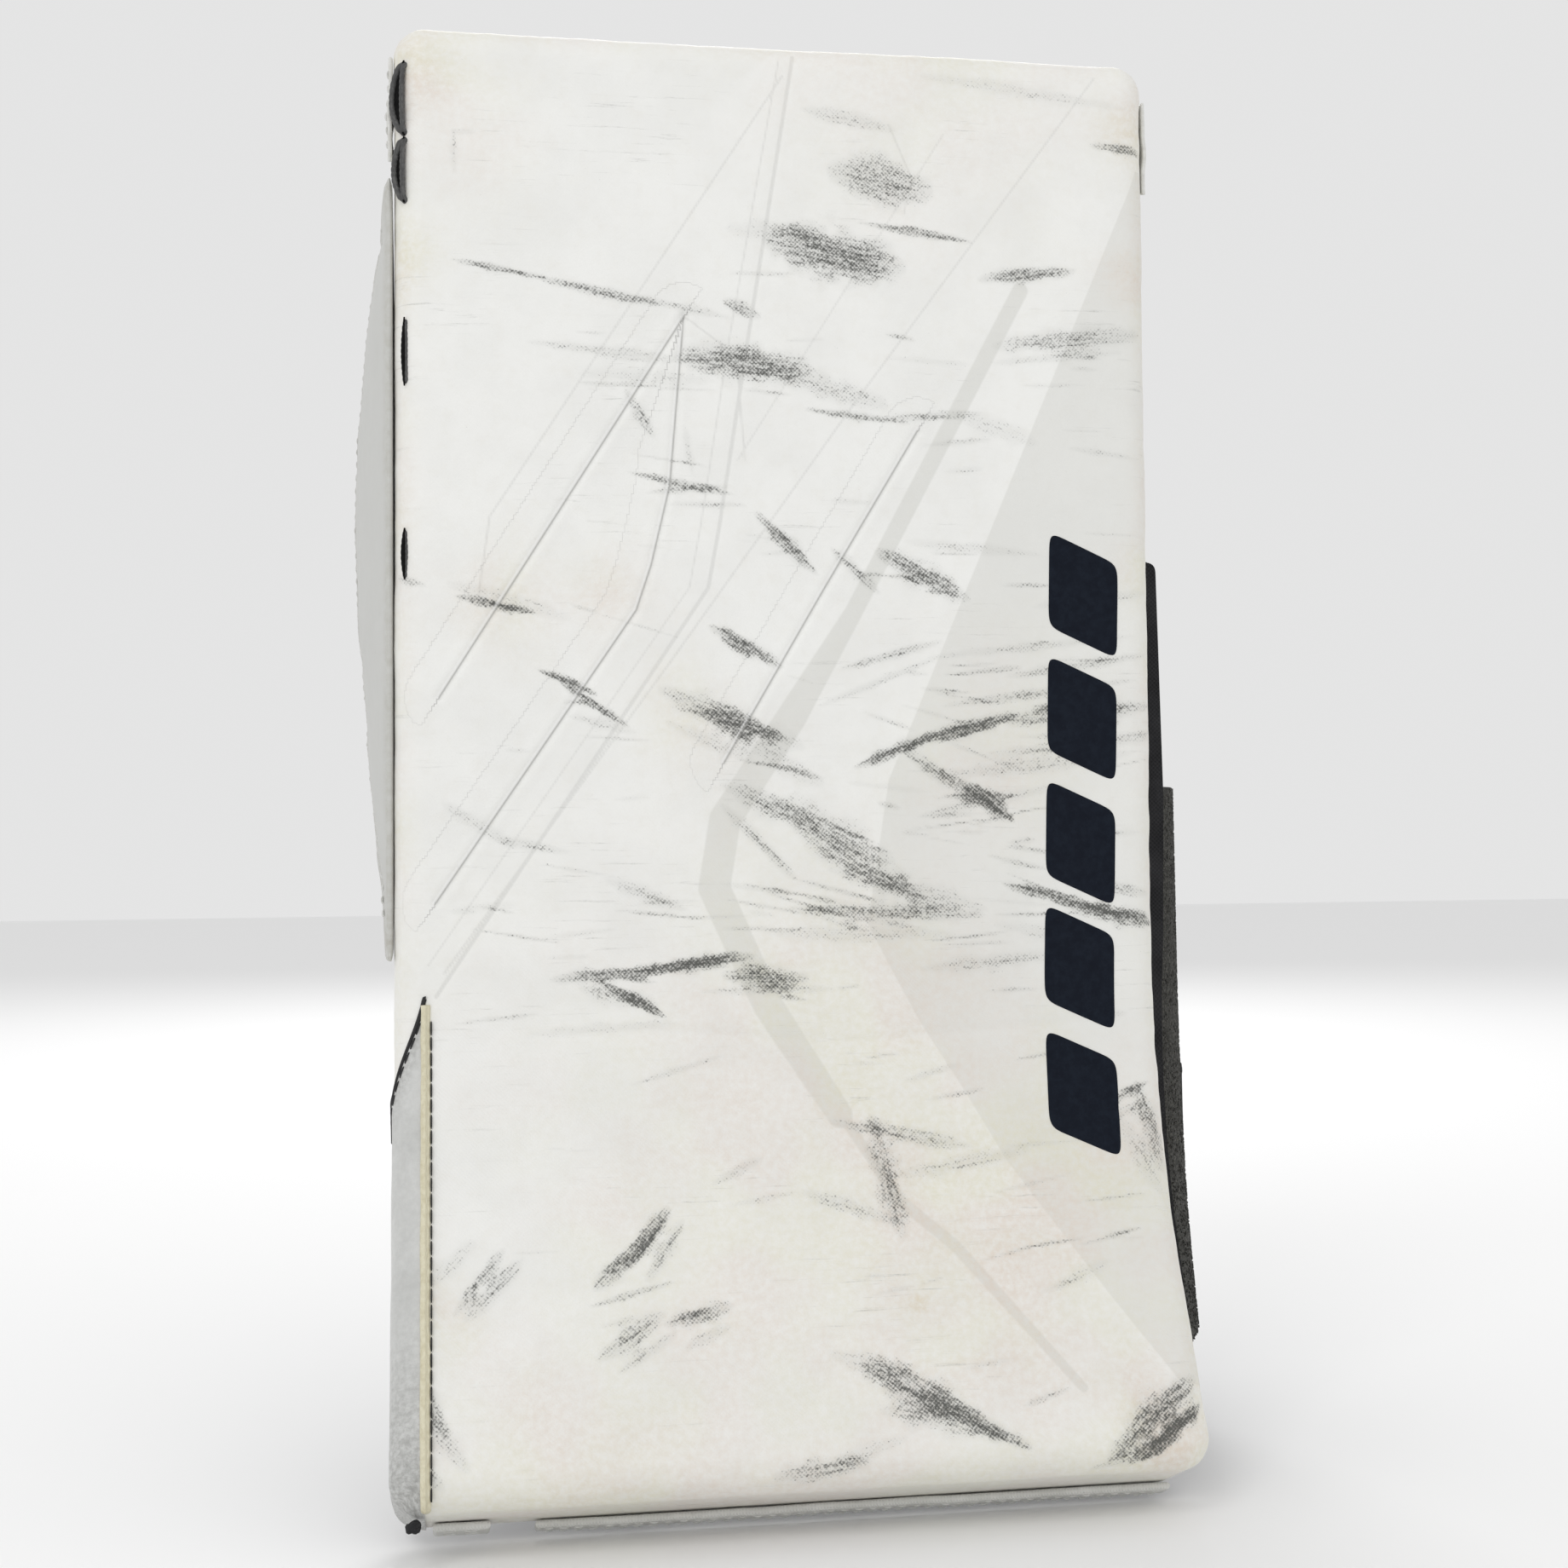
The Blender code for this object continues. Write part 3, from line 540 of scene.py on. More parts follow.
def set_field(mesh, name, values):
    values = np.asarray(values, np.float32)
    vector = values.ndim > 1 and values.shape[-1] == 3
    made = mesh.attributes.new(name, "FLOAT_VECTOR" if vector else "FLOAT", "POINT")
    made.data.foreach_set("vector" if vector else "value", np.ascontiguousarray(values).ravel())


def grid_quads(rows, columns, wrap=False, start=0):
    """Quads over a grid of points; wrap joins the last column to the first."""
    index = np.arange(rows * columns).reshape(rows, columns) + start
    beside = np.roll(index, -1, 1) if wrap else index[:, 1:]
    index = index if wrap else index[:, :-1]
    return np.stack([index[:-1], beside[:-1], beside[1:], index[1:]], -1).reshape(-1, 4)


def two_sided(rows, columns, wrap=False):
    """Quads over two grids of points, one listed after the other, that face apart."""
    back = grid_quads(rows, columns, wrap, start=rows * columns)
    return np.concatenate([grid_quads(rows, columns, wrap), back[:, ::-1]])


def rim_quads(columns, count):
    """Quads between the first rows of two wrapped grids of count points each."""
    ring = np.arange(columns)
    after = np.roll(ring, -1)
    return np.stack([ring, ring + count, after + count, after], -1)


def point_list(grids):
    return np.concatenate([grid.reshape(-1, 3) for grid in grids])


def stops(length, step, radius):
    """Distances along a side, close together near its ends so that the rim can be round."""
    ends = radius * np.array([0, 0.05, 0.2, 0.45, 0.75])
    middle = np.linspace(radius, length - radius, max(int((length - 2 * radius) / step), 2))
    return np.concatenate([ends, middle, length - ends[::-1]])


def thick_sheet(name, surface, size, step, thickness, relief=None, back_relief=None, radius=None, **fields):
    """A closed sheet with round rims: surface(a, b) gives its middle at distances a, b from one corner, in
    millimetres; relief(a, b) is added to its left side, seen along b, and back_relief to the other."""
    radius = radius or thickness / 2
    a, b = np.meshgrid(stops(size[0], step, radius), stops(size[1], step, radius))
    middle = surface(a, b)
    across = np.gradient(middle, axis=1) / np.gradient(a, axis=1)[..., None]
    along = np.gradient(middle, axis=0) / np.gradient(b, axis=0)[..., None]
    normal = unit(np.cross(across, along))
    round_off = quarter_round(np.minimum.reduce([a, size[0] - a, b, size[1] - b]) / radius)
    sides = []
    for sign, extra in ((1, relief), (-1, back_relief)):
        more = extra(a, b) if extra else 0.0
        sides.append(middle + sign * normal * ((thickness / 2 + more) * round_off * MM)[..., None])
    pattern = np.tile(flat_pattern(a, b), (2, 1))
    made = {key: np.tile(f(a, b).ravel(), 2) for key, f in fields.items()}
    return weld(quick_mesh(name, point_list(sides), two_sided(*a.shape), pattern, **made))


def weld(mesh, distance=1e-6):
    """Joins points that fall together, and turns every face outwards."""
    bm = bmesh.new()
    bm.from_mesh(mesh)
    bmesh.ops.remove_doubles(bm, verts=bm.verts[:], dist=distance)
    bmesh.ops.recalc_face_normals(bm, faces=bm.faces[:])
    bm.to_mesh(mesh)
    bm.free()
    return mesh


def add_faces(mesh, faces):
    """Adds faces given as lists of vertex numbers, and turns every face outwards."""
    bm = bmesh.new()
    bm.from_mesh(mesh)
    bm.verts.ensure_lookup_table()
    for face in faces:
        bm.faces.new([bm.verts[i] for i in face])
    bmesh.ops.recalc_face_normals(bm, faces=bm.faces[:])
    bm.to_mesh(mesh)
    bm.free()
    return mesh


def rounded(points, steps=6, spacing=3.0):
    """A dense outline through x, s, radius corners."""
    corners = []
    for i, (x, s, radius) in enumerate(points):
        here = np.array([x, s])
        before, after = (np.array(points[j % len(points)][:2]) - here for j in (i - 1, i + 1))
        before, after = before / np.linalg.norm(before), after / np.linalg.norm(after)
        if radius == 0:
            corners.append(here)
            continue
        half = math.acos(np.clip(before @ after, -1, 1)) / 2
        for t in np.linspace(0, 1, steps + 1):
            near = (1 - t) ** 2 * before + t**2 * after
            corners.append(here + near * radius / math.tan(half))
    outline = []
    for a, b in zip(corners, corners[1:] + corners[:1]):
        count = max(int(np.linalg.norm(b - a) / spacing), 1)
        outline += [a + (b - a) * t / count for t in range(count)]
    return np.array(outline)


def rounded_box(x, s, radius, spacing=3.0):
    corners = ((x[0], s[0]), (x[1], s[0]), (x[1], s[1]), (x[0], s[1]))
    return rounded([(*corner, radius) for corner in corners], spacing=spacing)


def edge_distance(points, outline):
    """Each point's distance from a closed outline."""
    nearest = np.full(points.shape[:-1], np.inf)
    for a, b in zip(outline, np.roll(outline, -1, 0)):
        run = b - a
        t = np.clip(((points - a) @ run) / max(run @ run, 1e-9), 0, 1)
        nearest = np.minimum(nearest, np.linalg.norm(points - a - t[..., None] * run, axis=-1))
    return nearest


RIM_STEPS = np.array([0, 0.04, 0.16, 0.36, 0.64, 1.0])


def plate(name, outline, d, place, radius, top=None, step=3.0, **fields):
    """A closed plate or pad on an outline of x, s points. Its top rim is round, and top(x, s, edge) adds height."""
    centre = outline.mean(0)
    far = np.linalg.norm(outline - centre, axis=1).max()
    small = np.linalg.norm(outline - centre, axis=1).min()
    inset = radius / small * RIM_STEPS
    shares = 1 - np.concatenate([inset, np.linspace(inset[-1], 1, int(far / step))[1:-1]])
    grid = centre + shares[:, None, None] * (outline - centre)
    edge = edge_distance(grid, outline)
    x, s = grid[..., 0], grid[..., 1]
    lifted = quarter_round(edge / radius)
    height = d[1] - radius * (1 - lifted)
    if top:
        height = height + top(x, s, edge) * lifted
    rows, columns = x.shape
    count = rows * columns
    middles = np.array([place(*centre, height[-1].mean()), place(*centre, d[0])])
    points = point_list([place(x, s, height), place(x, s, np.full_like(x, d[0])), middles])
    quads = np.concatenate([two_sided(rows, columns, wrap=True), rim_quads(columns, count)])
    pattern = np.tile(np.stack([x, s, height], -1).reshape(-1, 3), (2, 1))
    pattern = np.concatenate([pattern, [[*centre, 0]] * 2])
    made = {}
    for key, f in fields.items():
        values = np.tile(np.broadcast_to(f(x, s, edge), x.shape).ravel(), 2)
        made[key] = np.concatenate([values, values[-1:], values[-1:]])
    mesh = quick_mesh(name, points, quads, pattern, **made)
    last = count - columns
    middle_faces = []
    for i in range(columns):
        j = (i + 1) % columns
        middle_faces += [(last + i, last + j, 2 * count), (count + last + j, count + last + i, 2 * count + 1)]
    return add_faces(mesh, middle_faces)


def rings_along(path, size, section, normals, side):
    """A section of (n, 2) points, in millimetres, set across a path in the plane of its normal and side."""
    return path[:, None] + MM * size[:, None, None] * (
        section[None, :, :1] * normals[:, None] + section[None, :, 1:] * side[:, None]
    )


def sweep(name, path, section, normals=None, caps=True, scale=None):
    """A tube along a path; its normals say which way the section's first axis points."""
    path = np.asarray(path)
    tangent = unit(np.gradient(path, axis=0))
    if normals is None:
        normals = facing((0.0, -1.0, 0.0), path)
    normals = unit(normals - (normals * tangent).sum(1, keepdims=True) * tangent)
    size = np.ones(len(path)) if scale is None else scale
    rings = rings_along(path, size, section, normals, np.cross(tangent, normals))
    rows, columns = rings.shape[:2]
    around = np.arange(columns) * 0.6
    length = run_length(path) / MM
    pattern = np.stack(np.broadcast_arrays(around[None], length[:, None], 0.0), -1).reshape(-1, 3)
    mesh = quick_mesh(name, rings.reshape(-1, 3), grid_quads(rows, columns, wrap=True), pattern)
    if caps:
        add_faces(mesh, [range(columns)[::-1], range((rows - 1) * columns, rows * columns)])
    return mesh


def circle(radius, count=10, flatten=1.0):
    turn = np.linspace(0, 2 * math.pi, count, endpoint=False)
    return np.stack([np.cos(turn) * radius * flatten, np.sin(turn) * radius], 1)


def joined(name, meshes):
    """Several meshes as one."""
    bm = bmesh.new()
    for mesh in meshes:
        bm.from_mesh(mesh)
    made = bpy.data.meshes.new(name)
    bm.to_mesh(made)
    bm.free()
    for mesh in meshes:
        bpy.data.meshes.remove(mesh)
    return made


# A stitch's rings: how far along it, how high and how thick, as shares.
STITCH_AT = np.array([0.0, 0.12, 0.35, 0.65, 0.88, 1.0])
STITCH_RISE = (-1.1, 0.0, 0.55, 0.55, 0.0, -1.1)
STITCH_FAT = (0.35, 0.9, 1.0, 1.0, 0.9, 0.35)
STITCH_ENDS = np.array([[5, 4, 1, 0], [4, 3, 2, 1], [30, 31, 34, 35], [31, 32, 33, 34]])


def stitch_mesh(name, rows, length=2.6, gap=1.1, radius=0.32):
    """Thread: each row is a path and its normals; every stitch is a small arched capsule that dips at both ends."""
    shape = circle(1.0, 6)
    one = np.concatenate([grid_quads(6, 6, wrap=True), STITCH_ENDS])
    points, quads = [], []
    start = 0
    for path, normals in rows:
        path = np.asarray(path)
        at = run_length(path) / MM
        count = int(at[-1] / (length + gap))
        if count < 1:
            continue
        pitch = at[-1] / count
        places = (np.arange(count)[:, None] * pitch + gap / 2 + STITCH_AT * (pitch - gap)).ravel()
        normal = unit(along_path(normals, at, places))
        tangent = along_path(path, at, places + 0.2) - along_path(path, at, places - 0.2)
        tangent /= np.maximum(np.linalg.norm(tangent, axis=1, keepdims=True), 1e-9)
        rise, fat = (np.tile(shares, count) * radius for shares in (STITCH_RISE, STITCH_FAT))
        centre = along_path(path, at, places) + normal * rise[:, None] * MM
        points.append(rings_along(centre, fat, shape, normal, np.cross(tangent, normal)).reshape(-1, 3))
        quads.append((one[None] + 36 * np.arange(count)[:, None, None] + start).reshape(-1, 4))
        start += 36 * count
    return quick_mesh(name, np.concatenate(points), np.concatenate(quads))


def add_stitches(name, rows, material, slot, *sizes, body="root"):
    """A piece of thread; sizes are a stitch's length, the gap between two and the thread's radius."""
    return add_piece(name, stitch_mesh(name, rows, *sizes), material, body)


def on_surface(surface, a, b, step=0.4):
    """A row of points on surface(a, b), with its normals."""
    a, b = np.broadcast_arrays(np.asarray(a, float), np.asarray(b, float))
    points = surface(a, b)
    return points, unit(np.cross(surface(a + step, b) - points, surface(a, b + step) - points))


def smooth_noise(a, b, size, seed, octaves=3):
    """Value noise over two arrays in millimetres, from -1 to 1, with features of about the given size."""
    table = np.random.default_rng(seed).uniform(-1, 1, (octaves, 64, 64))
    total, weight = 0.0, 0.0
    for octave in range(octaves):
        u, v = a / size * 2**octave, b / size * 2**octave
        iu, iv = np.floor(u).astype(int), np.floor(v).astype(int)
        fu, fv = u - iu, v - iv
        fu, fv = fu * fu * (3 - 2 * fu), fv * fv * (3 - 2 * fv)
        corner = [[table[octave][(iu + i) % 64, (iv + j) % 64] for j in (0, 1)] for i in (0, 1)]
        near = corner[0][0] * (1 - fu) + corner[1][0] * fu
        far = corner[0][1] * (1 - fu) + corner[1][1] * fu
        total = total + (near * (1 - fv) + far * fv) * 0.5**octave
        weight += 0.5**octave
    return total / weight


def segment_distance(u, v, a, b):
    """Distance to a segment, the share along it, and the signed distance across it."""
    du, dv = b[0] - a[0], b[1] - a[1]
    t = ((u - a[0]) * du + (v - a[1]) * dv) / (du * du + dv * dv)
    held = np.clip(t, 0, 1)
    across = ((u - a[0]) * dv - (v - a[1]) * du) / math.hypot(du, dv)
    return np.hypot(u - a[0] - held * du, v - a[1] - held * dv), t, across


def line_distance(u, v, points):
    return np.min([segment_distance(u, v, a, b)[0] for a, b in zip(points, points[1:])], axis=0)


def signed_line_distance(u, v, points):
    best, signed = np.full(np.shape(u), np.inf), np.zeros(np.shape(u))
    for a, b in zip(points, points[1:]):
        distance, _, across = segment_distance(u, v, a, b)
        nearer = distance < best
        best = np.where(nearer, distance, best)
        signed = np.where(nearer, distance * np.where(across < 0, -1, 1), signed)
    return signed


# ---------------------------------------------------------------- the face

# Pressed grooves, printed lines and bands, as x, s in millimetres on the flat pattern.
GROOVES = (
    ((-26, 74), (-90, 175)),
    ((-26, 74), (-30, 119), (-35, 140), (-39, 152), (-91, 228)),
    ((37, 103), (11, 146), (-16, 192)),
)
LINES = (
    (((1, 8), (-77, 128), (-80, 149)), 0.5),
    (((4, 2), (-9, 80), (-17, 130), (-20, 146), (-91, 252)), 0.9),
    (((0, 4), (-14, 80), (-22, 130), (-25, 146), (-93, 244)), 0.4),
    (((88, 4), (19, 97), (-29, 164), (-89, 246)), 0.5),
    (((45, 22), (26, 52), (-12, 112)), 0.4),
    (((-26, 74), (-12, 84), (-10, 112)), 0.4),
    (((30, 20), (36, 34), (34, 44)), 0.4),
)
# Bands also give their half width at each point.
BANDS = (
    ((66, 64, 2.2), (19, 152, 2.4), (2, 180, 4.0), (-16, 207, 4.2), (-19, 225, 4.2), (-5, 256, 4.0), (13, 285, 3.4)),
    ((6, 273, 1.2), (28, 308, 1.6), (41, 320, 1.6), (70, 357, 1.2)),
)
PANEL_EDGE = ((100, 29), (28, 197), (22, 235), (35, 260), (47, 280), (57, 298), (67, 313), (81, 335), (96, 357))
FOLDS = (((95, 283), (68, 293), (55, 298), (29, 306), (12, 309)), ((-40, 262), (20, 266), (80, 262)))

# Puck and stick marks: x, s of both ends, half width, strength.
SCUFFS = (
    (20, 34, 35, 37, 7.6, 0.7), (22, 47, 52, 51, 1.3, 0.85), (3, 54, 27, 58, 7.8, 0.84),
    (-12, 50, 8, 50, 3.0, 0.4), (-24, 85, 4, 87, 5.2, 0.84), (-66, 82, -26, 86, 1.8, 0.5),
    (0, 88, 26, 96, 3.6, 0.55), (-52, 90, -20, 91, 2.4, 0.4), (-86, 61, -62, 65, 1.1, 0.8),
    (-64, 65, -33, 71, 1.6, 0.74), (-40, 69, -14, 74, 1.4, 0.5), (-14, 70, -7, 73, 2.0, 0.7),
    (56, 61, 80, 58, 2.3, 0.78), (61, 79, 98, 75, 3.4, 0.66), (58, 84, 94, 80, 1.4, 0.45),
    (7, 98, 34, 101, 1.2, 0.85), (28, 100, 54, 98, 1.4, 0.62), (50, 99, 68, 105, 3.0, 0.4),
    (88, 23, 102, 24, 1.8, 0.8), (8, 17, 30, 21, 2.4, 0.5), (-41, 95, -35, 105, 2.0, 0.62),
    (-26, 104, -24, 116, 1.2, 0.4), (-40, 116, -14, 121, 1.3, 0.8), (-36, 121, -14, 119, 1.0, 0.62),
    (-30, 124, -10, 124, 1.0, 0.5), (-6, 127, 8, 141, 2.2, 0.85), (14, 136, 25, 146, 1.8, 0.7),
    (28, 137, 48, 147, 3.6, 0.84), (34, 133, 70, 136, 1.6, 0.42), (-18, 157, -2, 166, 2.4, 0.88),
    (16, 167, 42, 160, 1.4, 0.6), (10, 177, 42, 164, 1.2, 0.5), (40, 164, 96, 158, 1.6, 0.46),
    (-64, 168, -50, 174, 1.3, 0.92), (-58, 172, -42, 182, 1.3, 0.8), (-56, 180, -40, 184, 1.4, 0.45),
    (-85, 149, -66, 153, 1.3, 0.9), (-86, 146, -58, 154, 2.6, 0.42), (-101, 144, -94, 146, 1.2, 0.6),
    (-30, 174, 2, 187, 4.2, 0.66), (-22, 179, -2, 185, 2.6, 0.82), (-12, 186, 8, 197, 3.0, 0.5),
    (-30, 182, -8, 192, 2.0, 0.42), (20, 193, 40, 185, 1.9, 1.0), (38, 186, 62, 180, 2.2, 0.98),
    (58, 181, 101, 177, 3.0, 0.74), (44, 177, 96, 170, 1.6, 0.6), (44, 196, 94, 190, 2.6, 0.5),
    (49, 198, 61, 207, 2.4, 1.0), (32, 189, 56, 205, 2.2, 0.66), (56, 190, 101, 186, 1.8, 0.5),
    (62, 169, 100, 163, 1.8, 0.6), (38, 206, 74, 199, 1.8, 0.5), (70, 150, 101, 146, 2.0, 0.45),
    (-14, 199, 8, 209, 3.6, 0.66), (0, 203, 26, 217, 4.4, 0.6), (8, 213, 34, 227, 4.4, 0.68),
    (-16, 204, 2, 222, 2.0, 0.6), (14, 221, 52, 231, 3.2, 0.56), (2, 231, 52, 233, 2.6, 0.74),
    (-4, 237, 44, 238, 2.4, 0.46), (60, 225, 84, 231, 1.8, 0.88), (76, 230, 102, 236, 2.8, 0.97),
    (78, 224, 100, 228, 1.8, 0.6), (58, 236, 90, 242, 2.0, 0.4), (-46, 223, -28, 230, 2.2, 0.5),
    (-88, 203, -72, 213, 2.0, 0.46), (-74, 212, -58, 215, 1.6, 0.5), (-60, 248, -30, 246, 2.2, 0.86),
    (-36, 246, -10, 243, 2.2, 0.96), (-14, 248, 3, 249, 3.4, 0.82), (-47, 250, -33, 258, 1.6, 1.0),
    (-52, 251, -36, 255, 2.8, 0.55), (-22, 252, 12, 252, 1.6, 0.5), (-66, 262, -30, 260, 1.6, 0.4),
    (38, 247, 74, 244, 2.4, 0.5), (82, 286, 97, 279, 1.6, 0.8), (80, 290, 96, 284, 1.6, 0.5),
    (95, 282, 100, 299, 4.0, 0.72), (90, 290, 98, 306, 3.0, 0.45), (12, 287, 46, 294, 2.4, 0.62),
    (22, 289, 27, 314, 4.2, 0.7), (28, 301, 62, 296, 2.4, 0.45), (4, 305, 26, 313, 2.4, 0.5),
    (-20, 301, -9, 296, 1.6, 0.55), (-34, 309, -43, 321, 2.8, 0.86), (-39, 315, -51, 326, 2.6, 0.8),
    (-30, 312, -38, 324, 2.4, 0.6), (-50, 343, -37, 335, 3.0, 0.64), (-46, 347, -33, 339, 1.8, 0.5),
    (-33, 336, -20, 333, 2.8, 0.74), (-29, 342, -20, 338, 1.8, 0.5), (-86, 331, -75, 317, 1.8, 0.68),
    (-83, 332, -71, 320, 2.4, 0.6), (-91, 323, -83, 315, 2.4, 0.4), (-96, 347, -89, 359, 2.4, 0.62),
    (-94, 355, -85, 367, 3.0, 0.58), (-100, 361, -91, 371, 2.6, 0.66), (18, 351, 36, 361, 5.2, 0.76),
    (28, 357, 53, 370, 2.6, 0.95), (20, 360, 46, 367, 3.2, 0.54), (8, 346, 26, 352, 3.0, 0.5),
    (-8, 374, 11, 372, 3.0, 0.62), (4, 372, 22, 367, 2.0, 0.4), (78, 372, 97, 358, 4.8, 0.82),
    (82, 375, 100, 363, 2.6, 0.98), (72, 377, 92, 370, 2.2, 0.6), (68, 331, 80, 326, 2.2, 0.4),
    (-86, 27, -81, 27, 1.0, 0.4), (-86, 27, -86, 38, 1.0, 0.36), (40, 6, 96, 12, 2.0, 0.4),
)
STAINS = (
    (-74, 149, 12, 0.5), (-46, 147, 10, 0.5), (-26, 181, 12, 0.4), (60, 330, 40, 0.45), (40, 300, 34, 0.5),
    (30, 334, 3, 1.0), (86, 300, 18, 0.55), (0, 280, 60, 0.3), (-98, 60, 8, 0.6), (100, 60, 8, 0.6),
    (100, 140, 8, 0.5), (-60, 372, 30, 0.45), (90, 372, 14, 0.9), (16, 250, 26, 0.35), (60, 190, 26, 0.35),
    (-80, 30, 16, 0.25), (40, 8, 40, 0.3), (-96, 10, 12, 0.8), (-95, 330, 10, 0.6), (98, 18, 10, 0.7),
    (-10, 330, 40, 0.2), (0, 376, 80, 0.3),
)


def axis(low, high):
    """Grid lines: fine over the face and its rolled edges, coarse down the sides."""
    inner = (low + CORNER_RADIUS - ROLL, high - CORNER_RADIUS + ROLL)
    middle = np.linspace(*inner, int((inner[1] - inner[0]) / FINE))
    side = np.arange(1, int(FLANGE / COARSE) + 1) * COARSE
    side = np.append(side[side < FLANGE - 0.4], FLANGE)
    return np.concatenate([inner[0] - side[::-1], middle, inner[1] + side])


def edge_of_face(u, v):
    return np.minimum.reduce([u - BOARD_X[0], BOARD_X[1] - u, v - BOARD_S[0], BOARD_S[1] - v])


def face_lift(u, v):
    """How far the padded skin stands off the board: crown, waves, folds and grooves."""
    across = np.clip((u - BOARD_X[0]) / (BOARD_X[1] - BOARD_X[0]), 0, 1)
    along = np.clip((v - BOARD_S[0]) / (BOARD_S[1] - BOARD_S[0]), 0, 1)
    crown = 1.1 * (np.sin(math.pi * across) * np.sin(math.pi * along)) ** 0.5
    lift = crown + 0.40 * smooth_noise(u, v, 46, 3) + 0.12 * smooth_noise(u, v, 13, 4)
    for points in GROOVES:
        near = line_distance(u, v, points)
        lift -= 0.75 * bell(near, 0.8)
        lift += 0.20 * bell(near - 2.2, 1.2)
    lift -= 0.18 * bell(line_distance(u, v, LINES[1][0]), 1.0)
    for points in FOLDS:
        lift -= 0.34 * bell(line_distance(u, v, points), 1.7)
    edge = edge_of_face(u, v)
    pucker = smooth_noise(u, v, 5.5, 7, 2) * bell(edge - 2, 7.0)
    corner = np.hypot(np.maximum(u - BOARD_X[1] + 24, 0), np.maximum(BOARD_S[0] + 24 - v, 0))
    lift += 0.18 * pucker + 0.34 * smooth_noise(u, v, 8, 8, 2) * np.clip((corner - 20) / 10, 0, 1)
    reach = np.maximum(
        np.maximum(BOARD_X[0] + CORNER_RADIUS - u, u - BOARD_X[1] + CORNER_RADIUS),
        np.maximum(BOARD_S[0] + CORNER_RADIUS - v, v - BOARD_S[1] + CORNER_RADIUS),
    )
    return lift * np.clip(1 - (reach - ROLL) / 8, 0, 1)


def fine_scuffs():
    """Thin stick marks: x and s ranges, how many, and their usual slope."""
    rng = np.random.default_rng(12)
    marks = []
    for x, s, count, slope in (
        ((30, 96), (158, 214), 34, -0.08), ((-22, 60), (168, 236), 26, 0.22), ((-60, 90), (60, 150), 26, 0.05),
        ((-90, 90), (228, 262), 22, -0.02), ((-90, 96), (270, 372), 26, -0.15), ((-95, -40), (150, 235), 10, 0.12),
    ):
        for _ in range(count):
            at_x, at_s = rng.uniform(*x), rng.uniform(*s)
            length, tilt = rng.uniform(5, 24), slope + rng.normal(0, 0.09)
            width, strength = rng.uniform(0.35, 1.0), rng.uniform(0.30, 0.66)
            marks.append((at_x, at_s, at_x + length, at_s + length * tilt, width, strength))
    return marks


def scuff_fields(u, v):
    """The scuffs' strength, and the direction they were rubbed in as distances along and across each."""
    clear, best = np.ones_like(u), np.zeros_like(u)
    streak = np.stack([u, v, np.zeros_like(u)], -1)
    ragged = smooth_noise(u, v, 3.5, 21, 2)
    for number, (x1, s1, x2, s2, width, strength) in enumerate((*SCUFFS, *fine_scuffs())):
        reach = width * 2.2
        near = (u > min(x1, x2) - reach) & (u < max(x1, x2) + reach)
        near &= (v > min(s1, s2) - reach) & (v < max(s1, s2) + reach)
        _, t, across = segment_distance(u[near], v[near], (x1, s1), (x2, s2))
        length = math.hypot(x2 - x1, s2 - s1)
        share = np.clip((t * length + width) / (length + 2 * width), 0, 1)
        lens = (4 * share * (1 - share)) ** 0.55
        wide = width * np.maximum(lens * (1 + 0.45 * ragged[near]), 0.02)
        mask = np.clip(strength * np.exp(-((np.abs(across) / wide) ** 3)) * lens**0.6, 0, 0.98)
        clear[near] *= 1 - mask
        stronger = mask > best[near]
        best[near] = np.where(stronger, mask, best[near])
        own = np.stack([t * length, across, np.full_like(t, number * 7.3)], -1)
        streak[near] = np.where(stronger[:, None], own, streak[near])
    return 1 - clear, streak


def stain_field(u, v):
    clear = np.ones_like(u)
    ragged = smooth_noise(u, v, 14, 31)
    for x, s, size, strength in STAINS:
        distance = np.hypot(u - x, v - s) / size
        clear *= 1 - np.clip(strength * np.exp(-((distance * (1 + 0.35 * ragged)) ** 2)), 0, 1)
    # Also darker towards all the face's edges.
    clear *= 1 - 0.5 * bell(np.maximum(edge_of_face(u, v), 0), 5.0) * (0.7 + 0.6 * ragged)
    return 1 - clear


def print_fields(u, v):
    line = np.min([line_distance(u, v, points) - width / 2 for points, width in LINES], axis=0)
    band = np.full_like(u, 9.0)
    for points in BANDS:
        for (*start, wide_start), (*end, wide_end) in zip(points, points[1:]):
            distance, t, _ = segment_distance(u, v, start, end)
            band = np.minimum(band, distance - wide_start - (wide_end - wide_start) * np.clip(t, 0, 1))
    signed = signed_line_distance(u, v, PANEL_EDGE)
    beyond = (v < PANEL_EDGE[0][1]) | (v > PANEL_EDGE[-1][1])
    panel = np.where(beyond, -3.0, signed)
    groove = np.full_like(u, 9.0)
    for points in GROOVES:
        own = signed_line_distance(u, v, points)
        groove = np.where(np.abs(own) < np.abs(groove), own, groove)
    return line, band, panel, groove


def add_face():
    u, v = np.meshgrid(axis(*BOARD_X), axis(*BOARD_S))
    points = cover_point(u, v, face_lift(u, v))
    scuff, streak = scuff_fields(u, v)
    line, band, panel, groove = print_fields(u, v)
    mesh = quick_mesh(
        "face_cover", points.reshape(-1, 3), grid_quads(*u.shape), flat_pattern(u, v), scuff=scuff.ravel(),
        streak=streak.reshape(-1, 3), stain=stain_field(u, v).ravel(), line=line.ravel(), band=band.ravel(),
        panel=panel.ravel(), groove=groove.ravel(),
    )
    add_piece("face_cover", mesh, face_leather(), replaces=["face_skin"])


